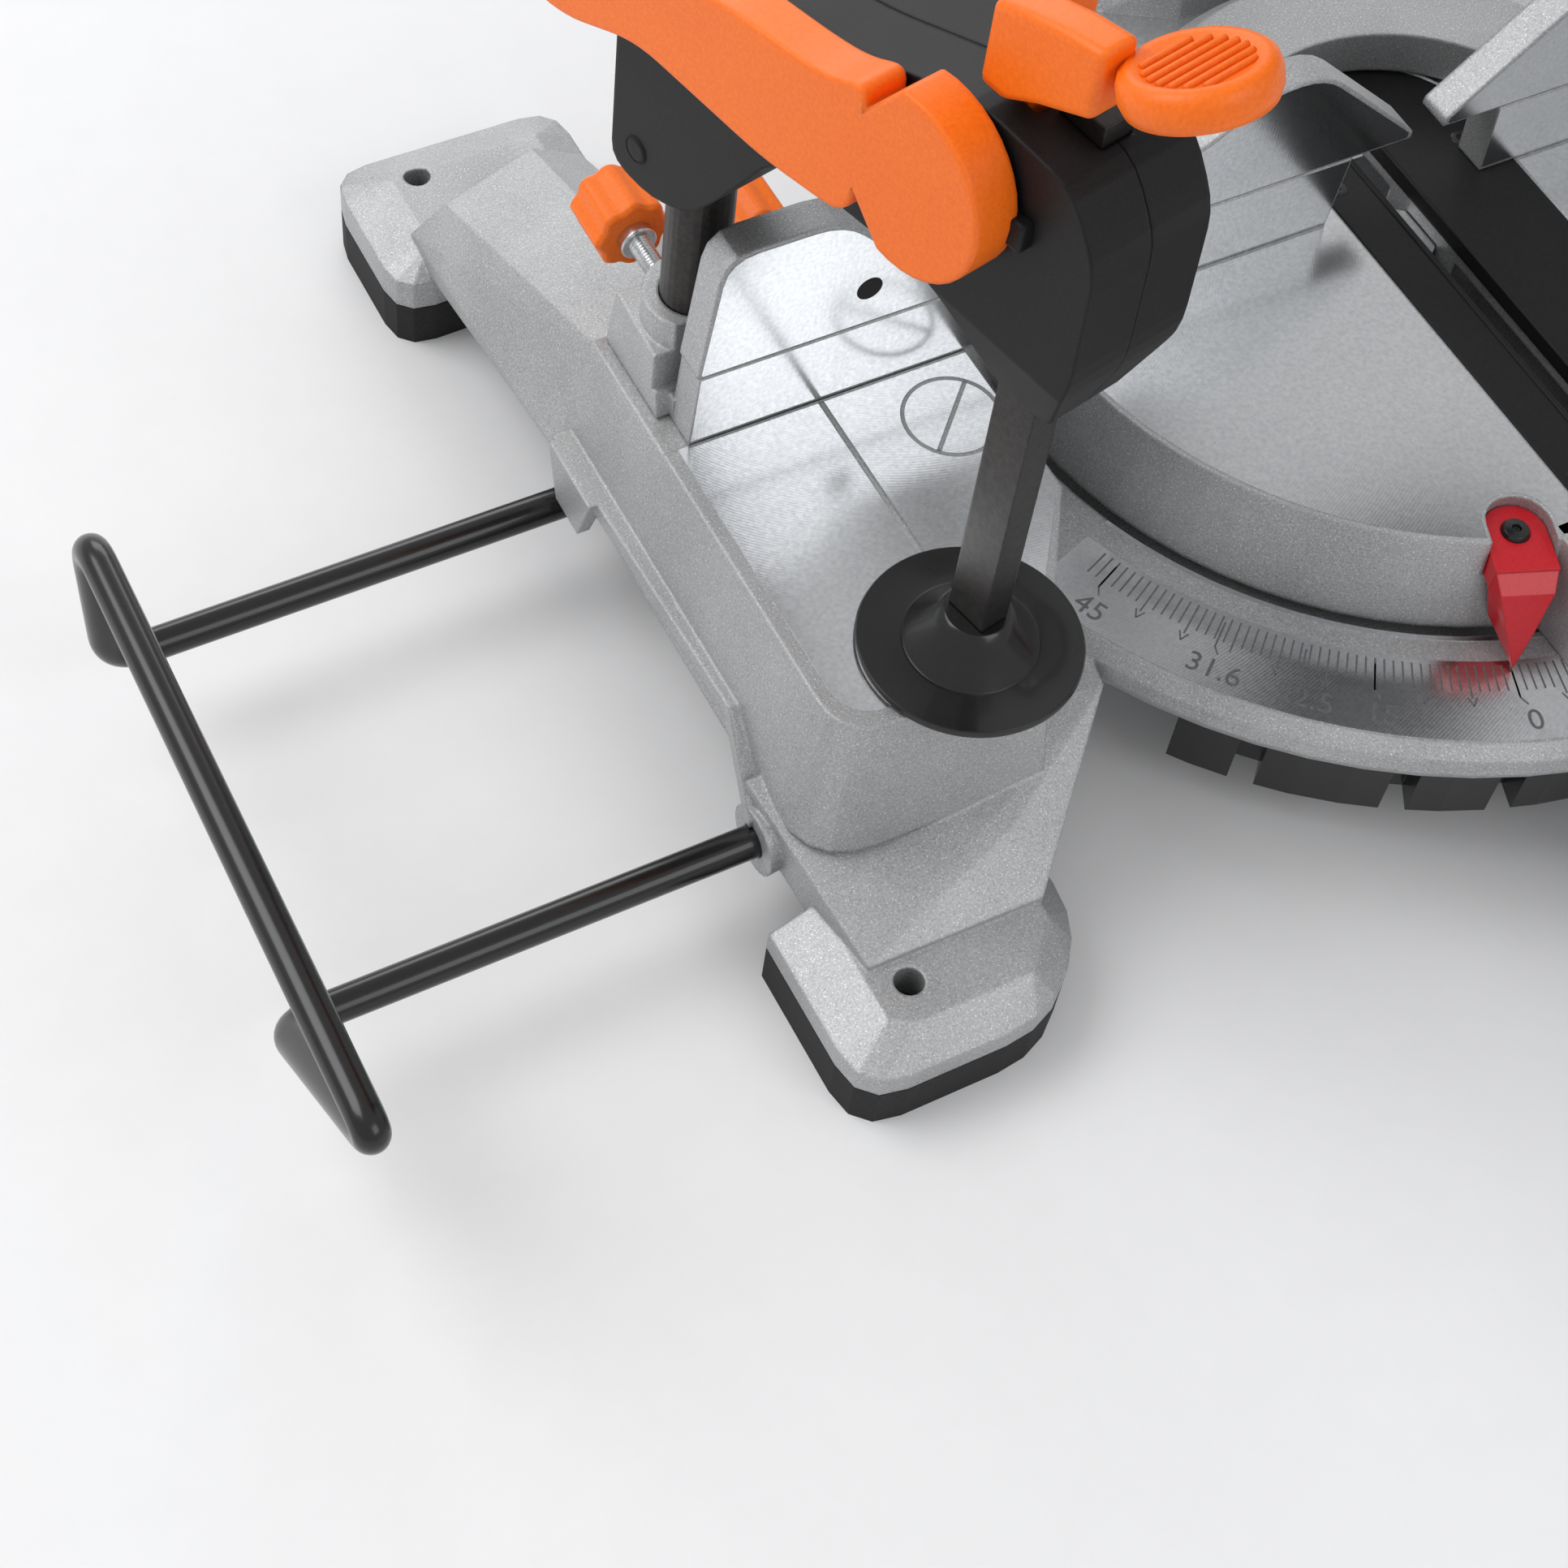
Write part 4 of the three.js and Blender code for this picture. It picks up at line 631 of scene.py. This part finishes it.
piece("thumb_pad", turned(THUMB_PAD, tab_point), ORANGE, "release", ("clamp_release_tab",),
      smooth=50)
for index in range(7):
    piece(f"thumb_ridge_{index}", thumb_ridge(3 * index - 9), ORANGE, "release",
          bevel=0.0003, segments=2)
piece("tab_arm", prism(TAB_ARM, clamp_side, -16.8, -6.2), ORANGE, "release", bevel=0.002,
      segments=4)
piece("tab_block", prism(TAB_BLOCK, clamp_side, -16.6, 8.3), ORANGE, "release", bevel=0.002,
      segments=4)
piece("tab_stem", prism(rectangle(103.2, 109.8, 275.2, 293), clamp_side, -8.3, 8.3), ORANGE, "release",
      bevel=0.001)

# ------------------------------------------------------------------ knobs
THREAD_PITCH = 0.55  # from one crest or root of a thread to the next


def hand_screw(name, solid, body, x, z, tip, neck, end, radius):
    """A lobed grip on a threaded rod along y: from the rod's tip to the grip's neck and its end."""
    lobes = 8
    dip = 0.11 * radius

    def lobed(r, angle):
        return r - dip * (1 - math.cos(lobes * angle)) / 2 if r > radius * 0.7 else r

    def place(a, b, h):
        return metres(x + a, h, z + b)

    grip = [(0, neck), (radius - 1.2, neck), (radius, neck + 1.2), (radius, end - 1.6), (radius - 1.6, end),
            (radius * 0.6, end), (radius * 0.52, end - 1.5), (0, end - 1.5)]
    thread = [(0, tip), (2.6, tip)]
    for i in range(int((neck - 3 - tip) / THREAD_PITCH)):
        thread.append((3.3 if i % 2 else 2.75, tip + 0.3 + i * THREAD_PITCH))
    thread += [(5.2, neck - 3.4), (5.6, neck - 3), (5.6, neck + 0.4), (0, neck + 0.4)]
    piece(name, turned(grip, place, 96, lobed), ORANGE, body, (solid,), smooth=35)
    piece(name + "_thread", turned(thread, place, 32), ZINC, body, smooth=25)


hand_screw("post_knob_grip", "post_lock_knob", "post_knob", POST[0], 115, tip=39.9, neck=66, end=85.8,
           radius=11.9)
for side, x in (("left", -203), ("right", 203)):
    hand_screw(f"fence_knob_grip_{side}", f"fence_lock_knob_{side}", f"fence_knob_{side}", x, 120, tip=20.3,
               neck=46, end=63.8, radius=10.9)

# ------------------------------------------------------------------ head screws
HANDLE_SIDE, GUARD_SIDE = -17, -20  # x of the left faces of the handle and the upper guard
HANDLE_SCREWS = ((-165, 163), (-76, 152), (-81, 126), (-130, 104))  # y and z from the arbor
GUARD_SCREW_CIRCLE = 128
GUARD_SCREW_ANGLES = (10, 50, 90, 168)  # degrees up from the front


def cap_screw(name, x, y, z, size):
    """A round screw head with a hexagon socket on the head's left side; y and z are from the arbor."""
    profile = [(0, 0.1), (size * 0.45, 0.1), (size * 0.5, size * 0.42), (size * 0.85, size * 0.42),
               (size, size * 0.25), (size, -0.4), (0, -0.4)]

    def socket(r, angle):
        corner = math.cos(angle % (math.pi / 3) - math.pi / 6)
        return r * math.cos(math.pi / 6) / corner if r < size * 0.6 else r

    def place(a, b, h):
        return head_point(x - h, ARBOR[0] + y + a, ARBOR[1] + z + b)

    piece(name, turned(profile, place, 48, socket), ZINC, "head", smooth=32)


for index, (y, z) in enumerate(HANDLE_SCREWS):
    cap_screw(f"handle_screw_{index}", HANDLE_SIDE, y, z, 3.4)
for index, degrees in enumerate(GUARD_SCREW_ANGLES):
    angle = math.radians(degrees)
    cap_screw(f"guard_screw_{index}", GUARD_SIDE, -GUARD_SCREW_CIRCLE * math.cos(angle),
              GUARD_SCREW_CIRCLE * math.sin(angle), 4.0)

# ------------------------------------------------------------------ studio, in metres
FLOOR_HALF = 6
CAMERA_PLACE = (-0.5089, -0.5490, 0.7076)
CAMERA_TURN = (33.820, -3.662, -26.768)  # degrees about X, Y and Z


def softbox(name, place, aim, size, power):
    """A rectangular light aimed at a point."""
    light = bpy.data.lights.new(name, "AREA")
    light.shape = "RECTANGLE"
    light.size, light.size_y = size
    light.energy = power
    made = bpy.data.objects.new(name, light)
    bpy.context.scene.collection.objects.link(made)
    made.location = place
    made.rotation_euler = (Vector(aim) - Vector(place)).to_track_quat("-Z", "Y").to_euler()


floor_corners = rectangle(-FLOOR_HALF, FLOOR_HALF, -FLOOR_HALF, FLOOR_HALF)
floor_mesh = mesh_of([Vector((*corner, 0)) for corner in floor_corners], [[0, 1, 2, 3]])
floor_mesh.materials.append(FLOOR)
floor = bpy.data.objects.new("floor", floor_mesh)
bpy.context.scene.collection.objects.link(floor)

softbox("key", place=(-1.6, 0.9, 2.2), aim=(-0.15, -0.15, 0.05), size=(1.8, 1.8), power=39)
softbox("back", place=(0.9, 2.6, 1.5), aim=(0, 0, 0.1), size=(2.4, 1.2), power=26)
softbox("fill", place=(0.6, -2.4, 2.0), aim=(-0.1, -0.15, 0.05), size=(1.6, 1.6), power=17)
world = bpy.data.worlds.new("studio")
bpy.context.scene.world = world
world.use_nodes = True
world.node_tree.nodes["Background"].inputs["Color"].default_value = (0.96, 0.967, 0.98, 1)
world.node_tree.nodes["Background"].inputs["Strength"].default_value = 0.64
bpy.context.scene.view_settings.view_transform = "Standard"

camera_data = bpy.data.cameras.new("camera")
camera_data.lens = 64.83
camera_data.sensor_width = 36
camera_data.shift_x = 0.0518
camera_data.shift_y = -0.0207
camera = bpy.data.objects.new("camera", camera_data)
bpy.context.scene.collection.objects.link(camera)
camera.location = CAMERA_PLACE
camera.rotation_euler = [math.radians(angle) for angle in CAMERA_TURN]
bpy.context.scene.camera = camera
